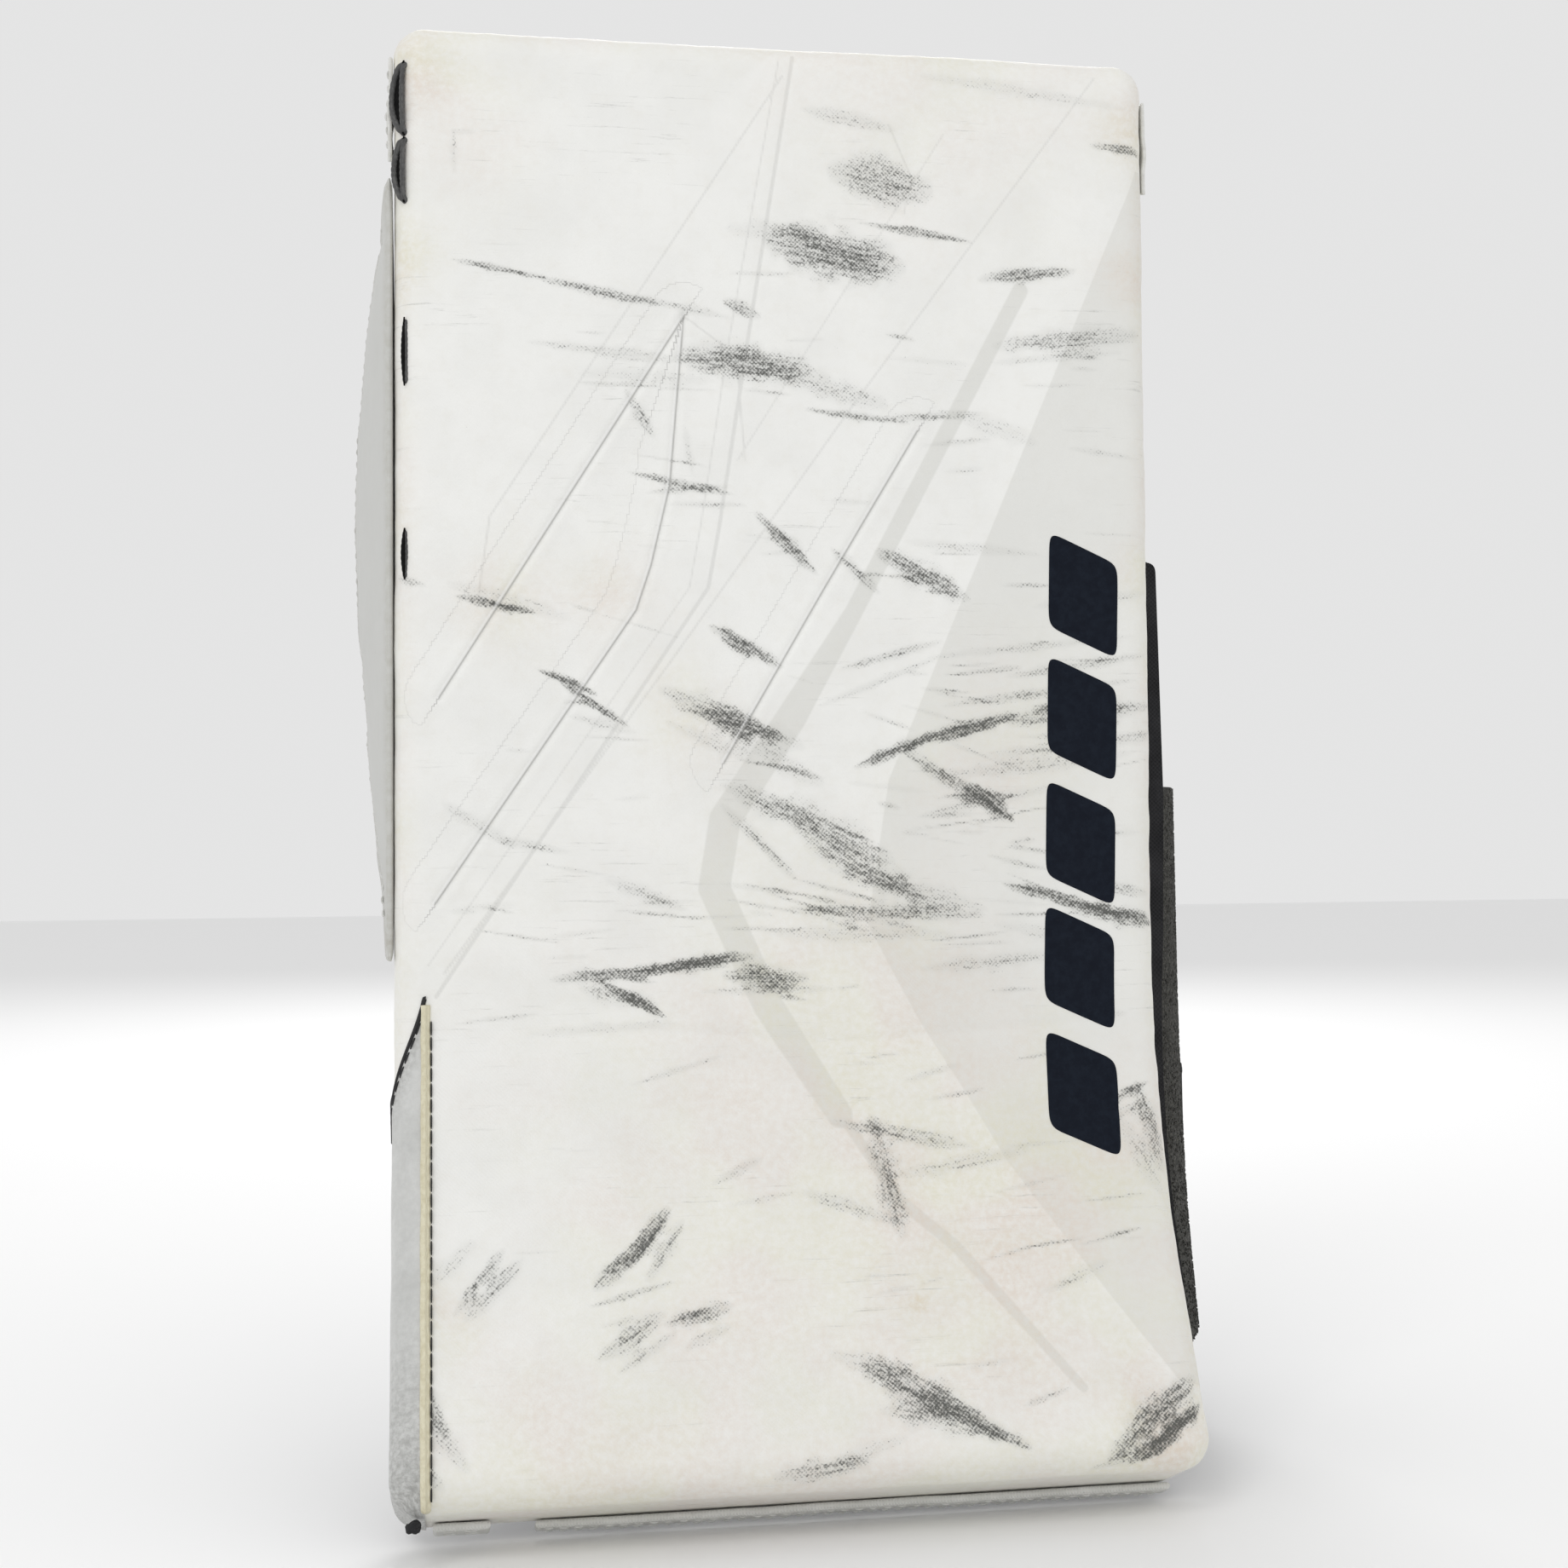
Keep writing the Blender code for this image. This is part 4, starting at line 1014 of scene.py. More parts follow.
GRAPHIC_TOP, GRAPHIC_BOTTOM = 134.0, 296.0
GRAPHIC_BARS = 5
GRAPHIC_GAP = 6.0
GRAPHIC_HALF = 9.8
GRAPHIC_SLANT = 4.4
GRAPHIC_X, GRAPHIC_DRIFT = 83.0, 4.0
GRAPHIC_CORNER_POWER = 9.0
GRAPHIC_LIFT = 0.14


def add_graphic():
    """A generic row of slanted bars down the little-finger side, in a thin print that follows the padding."""
    pitch = (GRAPHIC_BOTTOM - GRAPHIC_TOP + GRAPHIC_GAP) / GRAPHIC_BARS
    half_length = (pitch - GRAPHIC_GAP) / 2 - GRAPHIC_SLANT / GRAPHIC_BARS
    points, quads = [], []
    t = np.concatenate([[-1.0, -0.99], np.linspace(-0.97, 0.97, 34), [0.99, 1.0]])
    a, b = np.meshgrid(t, t)
    reach = np.maximum(np.abs(a), np.abs(b))
    power = GRAPHIC_CORNER_POWER
    rounding = reach / np.maximum((np.abs(a) ** power + np.abs(b) ** power) ** (1 / power), 1e-9)
    a, b = a * rounding, b * rounding
    offset = np.where(reach > 0.995, -0.1, GRAPHIC_LIFT)
    for bar in range(GRAPHIC_BARS):
        middle = GRAPHIC_TOP + half_length + bar * pitch
        v = middle + b * half_length + a * GRAPHIC_SLANT
        u = GRAPHIC_X - GRAPHIC_DRIFT * (v - GRAPHIC_TOP) / (GRAPHIC_BOTTOM - GRAPHIC_TOP) + a * GRAPHIC_HALF
        lift = face_lift(u, v) + offset
        quads.append(grid_quads(*u.shape, start=len(points) * u.size))
        points.append(cover_point(u, v, lift).reshape(-1, 3))
    mesh = quick_mesh("side_graphic_bars", np.concatenate(points), np.concatenate(quads))
    n = Nodes("bar_print_looks", roughness=0.6, Specular_IOR_Level=0.12)
    pattern = n.pattern()
    base = n.tones(pattern, (0.4, 5, 0.7), (0.35, 0.7), (0.0035, 0.006, 0.013), (0.007, 0.011, 0.020))
    rubbed = n.ramp(n.noise(n.scaled(pattern, (0.10, 0.10, 1.1), 0.1), 1.0, 6, 0.75), 0.66, 0.78, 0.0, 0.35)
    base = n.mix(rubbed, base, (0.10, 0.105, 0.11))
    looks = n.finish(base, n.add(0.5, n.times(rubbed, 0.35)), n.bump(n.noise(pattern, 1.5, 4, 0.6), 0.00006, 0.6))
    add_piece("side_graphic_bars", mesh, looks)


PANEL_TOP, PANEL_CURVE = 252.0, 9.5
PANEL_LIFT = 0.75


def side_panel_top(u):
    """Its curved top edge: the seam's end on the face, then down over the rolled edge and on along the side."""
    t = np.clip((SEAM_X - u) / PANEL_CURVE, 0, 1)
    return PANEL_TOP + 24.0 * t**0.75 + np.maximum(SEAM_X - PANEL_CURVE - u, 0) * 0.9


def side_panel_lift(u, v):
    return PANEL_LIFT + 0.25 * smooth_noise(u, v, 16, 41)


def side_panel_point(u, v):
    return cover_point(u, v, side_panel_lift(u, v))


def add_side_panel():
    """The lower thumb-side panel: its own leather, cut in a curve at the top, sewn to the face under a piping."""
    low_u = BOARD_X[0] + CORNER_RADIUS - ROLL - FLANGE + 0.4
    high_v = BOARD_S[1] - CORNER_RADIUS + ROLL + FLANGE - 0.4
    a = np.concatenate([[0, 0.003], np.linspace(0.008, 0.992, 58), [0.997, 1]])
    b = np.concatenate([[0, 0.0012], np.linspace(0.003, 0.998, 240), [0.9995, 1]])
    share, down = np.meshgrid(a, b)
    u = SEAM_X + (low_u - SEAM_X) * share
    top = side_panel_top(u)
    v = top + (high_v - top) * down
    rim = (share == 0) | (share == 1) | (down == 0) | (down == 1)
    lift = np.where(rim, -0.4, side_panel_lift(u, v))
    stain = np.clip((v - 330) / 60, 0, 1) * 0.8 + 0.5 * bell(v - top, 8) + 0.15
    mesh = quick_mesh(
        "side_panel_cover", cover_point(u, v, lift).reshape(-1, 3), grid_quads(*u.shape)[:, ::-1], flat_pattern(u, v),
        stain=np.clip(stain, 0, 1).ravel(),
    )
    add_piece("side_panel_cover", mesh, side_leather(), replaces=["side_panel_lower"])

    v = np.arange(254.0, BOARD_S[1] + 1.0, 0.8)
    u = np.full_like(v, SEAM_X + 0.3)
    wander = 0.18 * smooth_noise(v, v * 0, 9, 5)
    path, normals = on_surface(lambda p, q: cover_point(p, q, 0.65), u + wander, v)
    size = 1 + 0.07 * smooth_noise(v, v * 0, 6, 6)
    mesh = sweep("seam_piping", path, circle(1.25, 14, 0.85), -normals, scale=size)
    looks = smooth_plastic("piping_looks", (0.74, 0.70, 0.53), (0.62, 0.57, 0.40), 0.5)
    add_piece("seam_piping", mesh, looks, replaces=["edge_piping"])

    black = smooth_plastic("black_thread_looks", (0.010, 0.010, 0.011), (0.022, 0.022, 0.023), 0.6)
    rows = []
    v = np.arange(258.0, BOARD_S[1] - 1.0, 1.0)
    rows.append(on_surface(lambda p, q: cover_point(p, q, 1.05), np.full_like(v, SEAM_X + 1.75), v))
    u = np.linspace(SEAM_X - 0.8, SEAM_X - 16, 60)
    rows.append(on_surface(side_panel_point, u, side_panel_top(u) + 2.4))
    rows = [(path, -normals) for path, normals in rows]
    add_stitches("side_panel_stitches", rows, black, "lace", 3.6, 0.3, 0.25)
    u = np.linspace(SEAM_X + 0.4, SEAM_X - 22, 90)
    path, normals = on_surface(lambda p, q: cover_point(p, q, 0.55), u, side_panel_top(u) + 0.3)
    mesh = sweep("side_panel_cord", path, circle(0.62, 10), -normals, scale=1 + 0.1 * smooth_noise(u, u * 0, 4, 2))
    add_piece("side_panel_cord", mesh, black)


def add_bottom_trim():
    """White binding that peeks out below the face, sewn near its fold, and the small tab beside it."""
    tape = woven("binding_looks", (0.80, 0.80, 0.78), (0.60, 0.60, 0.57), 0.8, 0.65, worn=(0.45, 0.42, 0.36))
    stitches = []
    for name, x, d, node in (
        ("bottom_binding_tape", (-67.0, 97.0), (24.0, 31.0), "bottom_binding"),
        ("bottom_tab_tape", (-92.0, -78.0), (19.0, 29.0), "bottom_tab"),
    ):
        wave = lambda a: 0.25 * smooth_noise(a, a * 0, 14, 12)
        surface = lambda a, b, x=x, d=d: board(x[0] + a, BOARD_S[1] + 1.45 + wave(a), d[0] + b)
        mesh = thick_sheet(name, surface, (x[1] - x[0], d[1] - d[0]), 1.2, 2.0)
        add_piece(name, mesh, tape, replaces=[node])
        for inset in (1.3, 5.6):
            a = np.arange(1.5, x[1] - x[0] - 1.5, 0.8)
            path, _ = on_surface(surface, a, np.full_like(a, inset))
            path = path + [0, 0, -0.001]
            stitches.append((path, facing((0.0, 0.0, -1.0), path)))
    thread = smooth_plastic("white_thread_looks", (0.72, 0.72, 0.70), (0.55, 0.55, 0.52), 0.6)
    add_stitches("bottom_binding_stitches", stitches, thread, "binding")

    centre = board(BOARD_X[0] + 5.0, BOARD_S[1] + 2.6, 6.0)
    loops = []
    for turn, axis_tilt in ((0.0, 0.3), (1.1, -0.4)):
        t = np.linspace(0, 2 * math.pi, 28)
        rise = np.sin(t) * np.sin(axis_tilt) + 0.4 * np.sin(2 * t)
        ring = np.stack([np.cos(t) * 1.1, np.sin(t) * np.cos(axis_tilt), rise], 1)
        turned = np.array(Matrix.Rotation(turn, 3, "Z")) @ ring.T
        loops.append(sweep("knot_loop", centre + turned.T * MM, circle(0.85, 8), np.tile((0.2, 0.3, 1.0), (28, 1))))
    black = smooth_plastic("knot_looks", (0.008, 0.008, 0.009), (0.022, 0.022, 0.024), 0.75)
    add_piece("lace_end_knot", joined("lace_end_knot", loops), black, replaces=["lace_knot"])


def add_corner_caps():
    """Folded corner leather, tacked down beside the top corners."""
    # The corner caps get a 0.2 share of painted shade.
    looks = wrap_leather("corner_leather_painted_shade_looks", 0.2)
    rows = []
    for side, wall, s, hand in ((-1, BOARD_X[0], (6.0, 34.0), "left"), (1, BOARD_X[1], (8.0, 34.0), "right")):

        def surface(a, b, side=side, wall=wall, s=s):
            bulge = 0.5 + 0.35 * smooth_noise(a, b, 7, 61 + side) + 0.5 * bell(b - 14 - a * 0.3, 3)
            return flat(wall + side * (0.35 + bulge), s[0] + b * (1 - 0.012 * a), 6.0 + a)

        length = s[1] - s[0]
        mesh = thick_sheet(f"corner_fold_{hand}", surface, (21.0, length), 1.2, 1.1, stain=lambda a, b: 0.5 + 0 * a)
        add_piece(f"corner_fold_{hand}", mesh, looks, replaces=[f"corner_cap_{hand}"])
        b = np.arange(2.0, length - 2.0, 0.8)
        path, _ = on_surface(surface, np.full_like(b, 3.0), b)
        rows.append((path + [side * 0.0006, 0, 0], facing((float(side), 0.0, 0.0), path)))
    thread = bpy.data.materials["white_thread_looks"]
    add_stitches("corner_fold_stitches", rows, thread, "binding")


# ---------------------------------------------------------------- the side wrap and its lace

WRAP_REACH, WRAP_LEAST = 52.0, 5.0
WRAP_FRONT = 5.0
WRAP_HEM = 4.5
WRAP_ENDS = 10


def wrap_reach(s):
    """How far back the flap reaches: an arc with its crest above the middle."""
    end = np.where(s < WRAP_CREST, WRAP_S[0], WRAP_S[1])
    t = np.clip((s - end) / (WRAP_CREST - end), 0, 1)
    return WRAP_LEAST + WRAP_REACH * np.sin(t * math.pi / 2) ** 1.35


def add_side_wrap():
    """A padded flap hinged on the lace: round where it turns in at the crease and along its free edge."""
    length = WRAP_S[1] - WRAP_S[0]
    b = stops(length, 1.5, 3.0)
    share = np.concatenate([[0, 0.004, 0.012, 0.03], np.linspace(0.05, 0.95, 40), [0.97, 0.988, 0.996, 1.0]])
    q, s = np.meshgrid(share, WRAP_S[0] + b)
    reach = wrap_reach(s)
    q = q * reach
    end = np.minimum(reach - q, np.minimum(s - WRAP_S[0], WRAP_S[1] - s) * 0.8 + 0.2)
    round_off, front = quarter_round(end / 3.2), quarter_round(q / 1.6)
    outer = BOARD_X[0] - 1.9 - 0.18 * q
    inner = BOARD_X[0] - 0.3 - 0.12 * np.maximum(q - 26, 0)
    middle = (outer + inner) / 2
    pillow = 1.3 * np.sin(np.clip(q / np.maximum(reach, 1), 0, 1) * math.pi) ** 0.8 * np.clip((reach - 12) / 20, 0, 1)
    lumps = 0.7 * smooth_noise(s, q, 22, 51) + 0.25 * smooth_noise(s, q, 7, 52)
    folds = 0.55 * bell(s - 52.5 - 0.10 * q, 1.1) + 0.35 * bell(s - 150 - 0.3 * q, 2.2)
    hem = 0.5 * bell(reach - q - WRAP_HEM, 0.9) * (reach > 12)
    x_out = middle + (outer - middle - pillow - lumps * np.clip(q / 8, 0, 1) + folds + hem) * round_off * front
    x_in = middle + (inner - middle) * round_off * front
    d = WRAP_FRONT + q
    points = point_list([flat(x_out, s, d), flat(x_in, s, d)])
    pattern = np.tile(flat_pattern(q, s), (2, 1))
    stain = bell(reach - q, 6) * 0.5 + bell(q, 3) * 0.5 + 0.3 * bell(s - 243, 14)
    stain = np.tile(np.clip(stain, 0, 1).ravel(), 2)
    mesh = weld(quick_mesh("side_wrap_pad", points, two_sided(*q.shape), pattern, stain=stain))
    # The side wrap gets a 0.68 share of painted shade.
    looks = wrap_leather("side_wrap_leather_painted_shade_looks", 0.68)
    nodes = ["wrap_outer_skin", "wrap_core", "wrap_lining"]
    add_piece("side_wrap_pad", mesh, looks, "side_wrap", nodes)

    hem_row = np.arange(WRAP_ENDS, len(q) - WRAP_ENDS)
    column = np.argmin(np.abs(reach - q - WRAP_HEM), axis=1)[hem_row]
    path = flat(x_out[hem_row, column] - 0.15, s[hem_row, 0], d[hem_row, column])
    thread = bpy.data.materials["white_thread_looks"]
    add_stitches("side_wrap_stitches", [(path, facing((-1.0, 0.0, 0.0), path))], thread, "binding", body="side_wrap")


LACE_ANGLE = math.radians(37)
LACE_PITCH = 1.5
# Where the crease gapes and the lace shows: s from, s to, how far round the edge the cord bows in radians, and the
# share of the cord that stands clear.
LACE_OPENINGS = ((8.5, 28.4, 0.54, 1.0), (28.6, 46.0, 0.40, 1.0), (76.0, 94.0, 0.10, 0.5), (131.0, 144.5, 0.12, 0.5))


def round_edge(angle, out, s):
    """A point of the thumb-side rolled edge, at an angle round it from the face and out from its middle."""
    return flat(BOARD_X[0] + CORNER_RADIUS - out * np.sin(angle), s, CORNER_RADIUS - out * np.cos(angle))


def add_lace():
    """Two ribbed strands in the crease, bowed apart at the openings over near-black sheets that paint the shadow in
    the gaps, and sunk in elsewhere.
    """
    cord = smooth_plastic("lace_looks", (0.050, 0.050, 0.050), (0.115, 0.115, 0.112), 0.5)
    # Painted shadow: a near-black look for the thin sheets set in the gaps under the lace.
    gap = smooth_plastic("painted_shadow_gap_looks", (0.004, 0.004, 0.004), (0.010, 0.010, 0.010), 0.9, Specular_IOR_Level=0.1)
    s = np.arange(LACE_OPENINGS[0][0] - 1.0, WRAP_S[1] - 2.0, 0.3)
    bow, shown = np.zeros_like(s), np.zeros_like(s)
    gaps = []
    for start, end, swing, clear in LACE_OPENINGS:
        t = (s - start) / (end - start)
        inside = np.sin(math.pi * np.clip(t, 0, 1))
        bow += swing * inside
        shown = np.maximum(shown, clear * np.clip(inside * 3.5, 0, 1))

        def hole(a, b, start=start, end=end, swing=swing):
            wide = 0.02 + swing * np.sin(math.pi * np.clip(b / (end - start), 0, 1))
            return round_edge(LACE_ANGLE + wide * a, CORNER_RADIUS + 0.62, start + b)

        # Each opening gets a thin near-black sheet of painted shadow.
        gaps.append(thick_sheet("gap", hole, (1.0, end - start), 0.25, 0.5, radius=0.12))
    add_piece("lace_gap_shadows", joined("lace_gap_shadows", gaps), gap)
    ribs = 1 + 0.16 * np.abs(np.sin(s * math.pi / LACE_PITCH))
    strands = []
    for share, radius in ((1.0, 0.80), (0.12, 0.62)):
        angle = LACE_ANGLE + bow * share
        path = round_edge(angle, CORNER_RADIUS + 1.0 - 2.4 * (1 - shown), s)
        normals = np.stack([-np.sin(angle), -np.cos(angle), 0 * s], 1)
        strands.append(sweep("lace_strand", path, circle(radius, 10), normals, scale=ribs))
    add_piece("wrap_lacing", joined("wrap_lacing", strands), cord, replaces=["wrap_lace"])


# ---------------------------------------------------------------- padding by cloth simulation

VOXEL = 4.0


def swollen(mesh, cap, pinned, voxel=VOXEL, pressure=4.0):
    """Blows a pad up with cloth pressure: pinned(points) says which points are sewn down, cap limits the swell."""
    obj = bpy.data.objects.new("pad_in_the_making", mesh)
    bpy.context.scene.collection.objects.link(obj)
    bpy.context.view_layer.objects.active = obj
    remesh = obj.modifiers.new("voxels", "REMESH")
    remesh.mode = "VOXEL"
    remesh.voxel_size = voxel * MM
    graph = bpy.context.evaluated_depsgraph_get()
    start = bpy.data.meshes.new_from_object(obj.evaluated_get(graph))
    obj.modifiers.clear()
    obj.data = start
    before = np.zeros(len(start.vertices) * 3, np.float32)
    start.vertices.foreach_get("co", before)
    before = before.reshape(-1, 3)
    group = obj.vertex_groups.new(name="sewn")
    group.add([int(i) for i in np.flatnonzero(pinned(before))], 1.0, "REPLACE")
    cloth = obj.modifiers.new("cloth", "CLOTH")
    cloth.settings.use_pressure = True
    cloth.settings.uniform_pressure_force = pressure
    cloth.settings.effector_weights.gravity = 0
    cloth.settings.vertex_group_mass = "sewn"
    cloth.settings.quality = 4
    scene = bpy.context.scene
    for number in range(1, 21):
        scene.frame_set(number)
    graph = bpy.context.evaluated_depsgraph_get()
    after_mesh = bpy.data.meshes.new_from_object(obj.evaluated_get(graph))
    obj.modifiers.clear()
    after = np.zeros_like(before).ravel()
    after_mesh.vertices.foreach_get("co", after)
    move = after.reshape(-1, 3) - before
    size = np.linalg.norm(move, axis=1, keepdims=True)
    move *= np.minimum(1, cap * MM / np.maximum(size, 1e-9))
    start.vertices.foreach_set("co", (before + move).ravel())
    start.update()
    bpy.data.meshes.remove(after_mesh)
    scene.frame_set(1)
    obj.data = start
    fine = obj.modifiers.new("fine", "SUBSURF")
    fine.levels = fine.render_levels = 2
    graph = bpy.context.evaluated_depsgraph_get()
    made = bpy.data.meshes.new_from_object(obj.evaluated_get(graph))
    bpy.data.objects.remove(obj)
    return made


def mesh_points(mesh):
    co = np.zeros(len(mesh.vertices) * 3, np.float32)
    mesh.vertices.foreach_get("co", co)
    return co.reshape(-1, 3).astype(float)


SEAM_BELOW = 2.9


def pad_piece(name, x, s, corner, top, material, node, cap=3.0, seams=(), radius=4.0):
    """A cloth-simulated pad on the base panel, standing up to top behind the face. Its seams, lines of x, s points,
    are pressed in after the swelling, and come back as rows to stitch."""
    outline = rounded_box(x, s, corner, spacing=2.5)
    d = (HAND_BACK, top)
    small = plate(name + "_blank", outline, (d[0], d[1] - 1.2), board, radius)
    made = swollen(small, cap, lambda p: board_inverse(p.astype(float))[2] < d[0] + 2.2)
    made.name = name
    x, s, depth = board_inverse(mesh_points(made))
    height = np.clip((depth - d[0]) / (d[1] - d[0]), 0, 1)
    push = 0.25 * smooth_noise(x, s, 13, 91)
    for line in seams:
        near = line_distance(x, s, line)
        push = push - 3.0 * bell(near, 2.0) - 0.8 * bell(near, 5.0)
    depth = np.clip(depth + push * height, d[0] + 0.05, d[1] + 2.5)
    made.vertices.foreach_set("co", board(x, s, depth).astype(np.float32).ravel())
    made.update()
    set_field(made, "pattern", np.stack([x, s, depth * 0], -1))
    set_field(made, "stain", np.clip(smooth_noise(x, s, 20, 92), 0, 1))
    add_piece(name, made, material, replaces=[node])
    rows = []
    for line in seams:
        row = board(*resample(line, 0.8), top - SEAM_BELOW)
        rows.append((row, facing((0.0, 1.0, 0.0), row)))
    return rows


def resample(path, step):
    """The coordinates of points one step apart along a path."""
    path = np.array(path, float)
    at = run_length(path)
    return along_path(path, at, np.arange(0, at[-1], step)).T


def board_inverse(points):
    """Board coordinates of world points."""
    x, y, z = (points / MM).T
    s, d = GRIP_S - z, y + GRIP_D
    for _ in range(6):
        angle = bend_angle(s)
        forward, down = np.interp(s, PROFILE_S, PROFILE_FORWARD), np.interp(s, PROFILE_S, PROFILE_DOWN)
        run_y, run_z = y + GRIP_D + forward, GRIP_S - z - np.where(s < 0, s, down)
        s = s + run_z * np.cos(angle) - run_y * np.sin(angle)
        d = run_y * np.cos(angle) + run_z * np.sin(angle)
    return x, s, d


# ---------------------------------------------------------------- the back of the board and the glove

BASE_OUTLINE = (
    (-62.0, 100.0, 12.0), (84.0, 100.0, 12.0), (84.0, 133.4, 0.0), (114.6, 133.4, 3.0), (116.0, 200.0, 0.0),
    (115.3, 242.0, 0.0), (113.3, 276.0, 0.0), (112.0, 343.0, 6.0), (-62.0, 343.0, 12.0),
)


def inset_outline(outline, distance):
    """An outline moved inwards."""
    ahead, behind = np.roll(outline, -1, 0), np.roll(outline, 1, 0)
    run = ahead - behind
    normal = unit(np.stack([-run[:, 1], run[:, 0]], 1))
    turning = np.sum(outline[:, 0] * ahead[:, 1] - ahead[:, 0] * outline[:, 1])
    return outline + normal * distance * (1 if turning > 0 else -1)


def outline_row(outline, distance, d, place):
    ring = inset_outline(outline, distance)
    x, s = resample(np.concatenate([ring, ring[:1]]), 0.8)
    row = place(x, s, np.full_like(x, d))
    return row, facing((0.0, 1.0, 0.0), row)


def add_back():
    tones = ((0.030, 0.030, 0.033), (0.006, 0.006, 0.007))
    nylon = woven("black_nylon_looks", *tones, 1.2, 0.62, worn=(0.10, 0.10, 0.10))
    outline = rounded_box(*((low + 0.3, high - 0.3) for low, high in (BOARD_X, BOARD_S)), 9.0)
    quilt = lambda x, s, edge: 0.25 * smooth_noise(x, s, 30, 71) - 0.5 * bell(edge - 6.0, 1.2)
    mesh = plate("board_back", outline, (29.2, 31.0), board, 0.9, top=quilt, step=2.5)
    add_piece("board_back", mesh, nylon, replaces=["back_panel"])
    panel = rounded(BASE_OUTLINE)
    relief = lambda x, s, edge: 0.2 * smooth_noise(x, s, 24, 72) - 0.6 * bell(edge - 5.0, 1.0)
    mesh = plate("glove_base", panel, (31.3, 36.3), board, 2.2, top=relief, step=2.5)
    add_piece("glove_base", mesh, nylon, replaces=["hand_base_panel"])
    binding = woven("black_binding_looks", (0.022, 0.022, 0.024), (0.008, 0.008, 0.009), 0.7, 0.6)
    ring = inset_outline(panel, 0.4)
    x, s = resample(np.concatenate([ring, ring[:1]]), 1.5)
    path = board(x, s, np.full_like(x, 34.6))
    closed = np.concatenate([path, path[1:3]])
    outward = np.cross(np.gradient(closed, axis=0), (0.0, 1.0, 0.0))
    mesh = sweep("glove_base_binding", closed, circle(1.0, 12) * [1.1, 2.1], outward)
    add_piece("glove_base_binding", mesh, binding)
    rows = [outline_row(outline, 6.0, 30.75, board), outline_row(panel, 5.0, 35.95, board)]
    gray = smooth_plastic("gray_thread_looks", (0.16, 0.16, 0.17), (0.09, 0.09, 0.10), 0.6)
    add_stitches("back_stitches", rows, gray, "black_nylon", 3.0, 1.3, 0.36)
    return nylon, binding, gray


def add_pads(nylon, gray):
    """The pads on the base panel: name, x and s ranges, corner radius, top, looks, CAD node, cap, seams."""
    liner = spacer_mesh()
    across = lambda x, *at: [((x[0], s), (x[1], s)) for s in at]
    rows = pad_piece(
        "hand_back_pad", (-20, 80), (142, 242), 8.0, 50.0, liner, "hand_pad", 3.0,
        [((-18, 176), (30, 168), (78, 176)), ((-18, 210), (30, 204), (78, 210)), ((13, 144), (14, 240)),
         ((47, 144), (46, 240))],
    )
    rows += pad_piece(
        "knuckle_row_pad", (-20, 80), (106, 141.7), 7.0, 49.0, nylon, "knuckle_pad", 3.0,
        [((x, 107), (x, 141)) for x in (5, 30, 55)],
    )
    rows += pad_piece(
        "wrist_back_pad", (-30, 97), (246, 336), 9.0, 43.0, liner, "wrist_pad", 2.0,
        across((-29, 96), 276, 306), radius=3.0,
    )
    rows += pad_piece(
        "little_side_guard", (88, 113.5), (141, 197.5), 6.0, 47.0, nylon, "little_finger_guard", 2.5,
        across((89, 112.5), 160, 179),
    )
    rows += pad_piece(
        "thumb_side_guard", (-56, -23), (108, 200), 9.0, 47.0, nylon, "thumb_guard", 2.5,
        [((-55, 138), (-24, 132)), ((-55, 168), (-24, 162))],
    )
    add_stitches("pad_stitches", rows, gray, "liner_mesh", 2.8, 1.3, 0.34)


# The glove's wall: rounded corners, its x on both sides, and its depth at the base and over the palm.
GLOVE_CORNER, GLOVE_X, GLOVE_D = 9.0, (81.4, -21.2), (50.6, 81.4)
GLOVE_S = (146.0, 261.5)
GLOVE_RISE = GLOVE_D[1] - GLOVE_D[0] - GLOVE_CORNER
GLOVE_WIDTH = GLOVE_X[0] - GLOVE_X[1] - 2 * GLOVE_CORNER
GLOVE_TURN = GLOVE_CORNER * math.pi / 2
GLOVE_ROUND = 2 * GLOVE_RISE + GLOVE_CORNER * math.pi + GLOVE_WIDTH


def glove_point(a, s):
    """The glove's wall at a distance a round it from the base of the little-finger side, and s along the hand."""
    corner, rise, turn, width = GLOVE_CORNER, GLOVE_RISE, GLOVE_TURN, GLOVE_WIDTH
    t = np.clip(a - rise, 0, turn) / corner
    t2 = np.clip(a - rise - turn - width, 0, turn) / corner
    x = GLOVE_X[0] - corner * (1 - np.cos(t)) - np.clip(a - rise - turn, 0, width) - corner * np.sin(t2)
    down = np.clip(a - rise - 2 * turn - width, 0, None)
    d = GLOVE_D[0] + np.clip(a, 0, rise) + corner * np.sin(t) - corner * (1 - np.cos(t2)) - down
    creases = 0.35 * smooth_noise(a, s, 26, 81) - 0.45 * np.sin((s + 0.25 * a) / 7.5) ** 8
    hollow = 0.9 * np.exp(-((((a - 78) / 34) ** 2) + ((s - 206) / 30) ** 2))
    across = np.clip(np.minimum(a, GLOVE_ROUND - a) / 34, 0, 1)
    return flat(x, s, d + (creases - hollow) * across)


def glove_span(s):
    """Where the wall starts and ends round the hand at s: it opens for the thumb and stops above the wrist."""
    wrist = 33.0 * np.clip((s - 242.5) / 8.0, 0, 1) ** 0.6
    thumb = 33.0 * np.clip((203.5 - s) / 5.0, 0, 1) ** 0.6 + 14.0 * np.clip((190 - s) / 44, 0, 1)
    return wrist, GLOVE_ROUND - np.maximum(thumb, wrist)


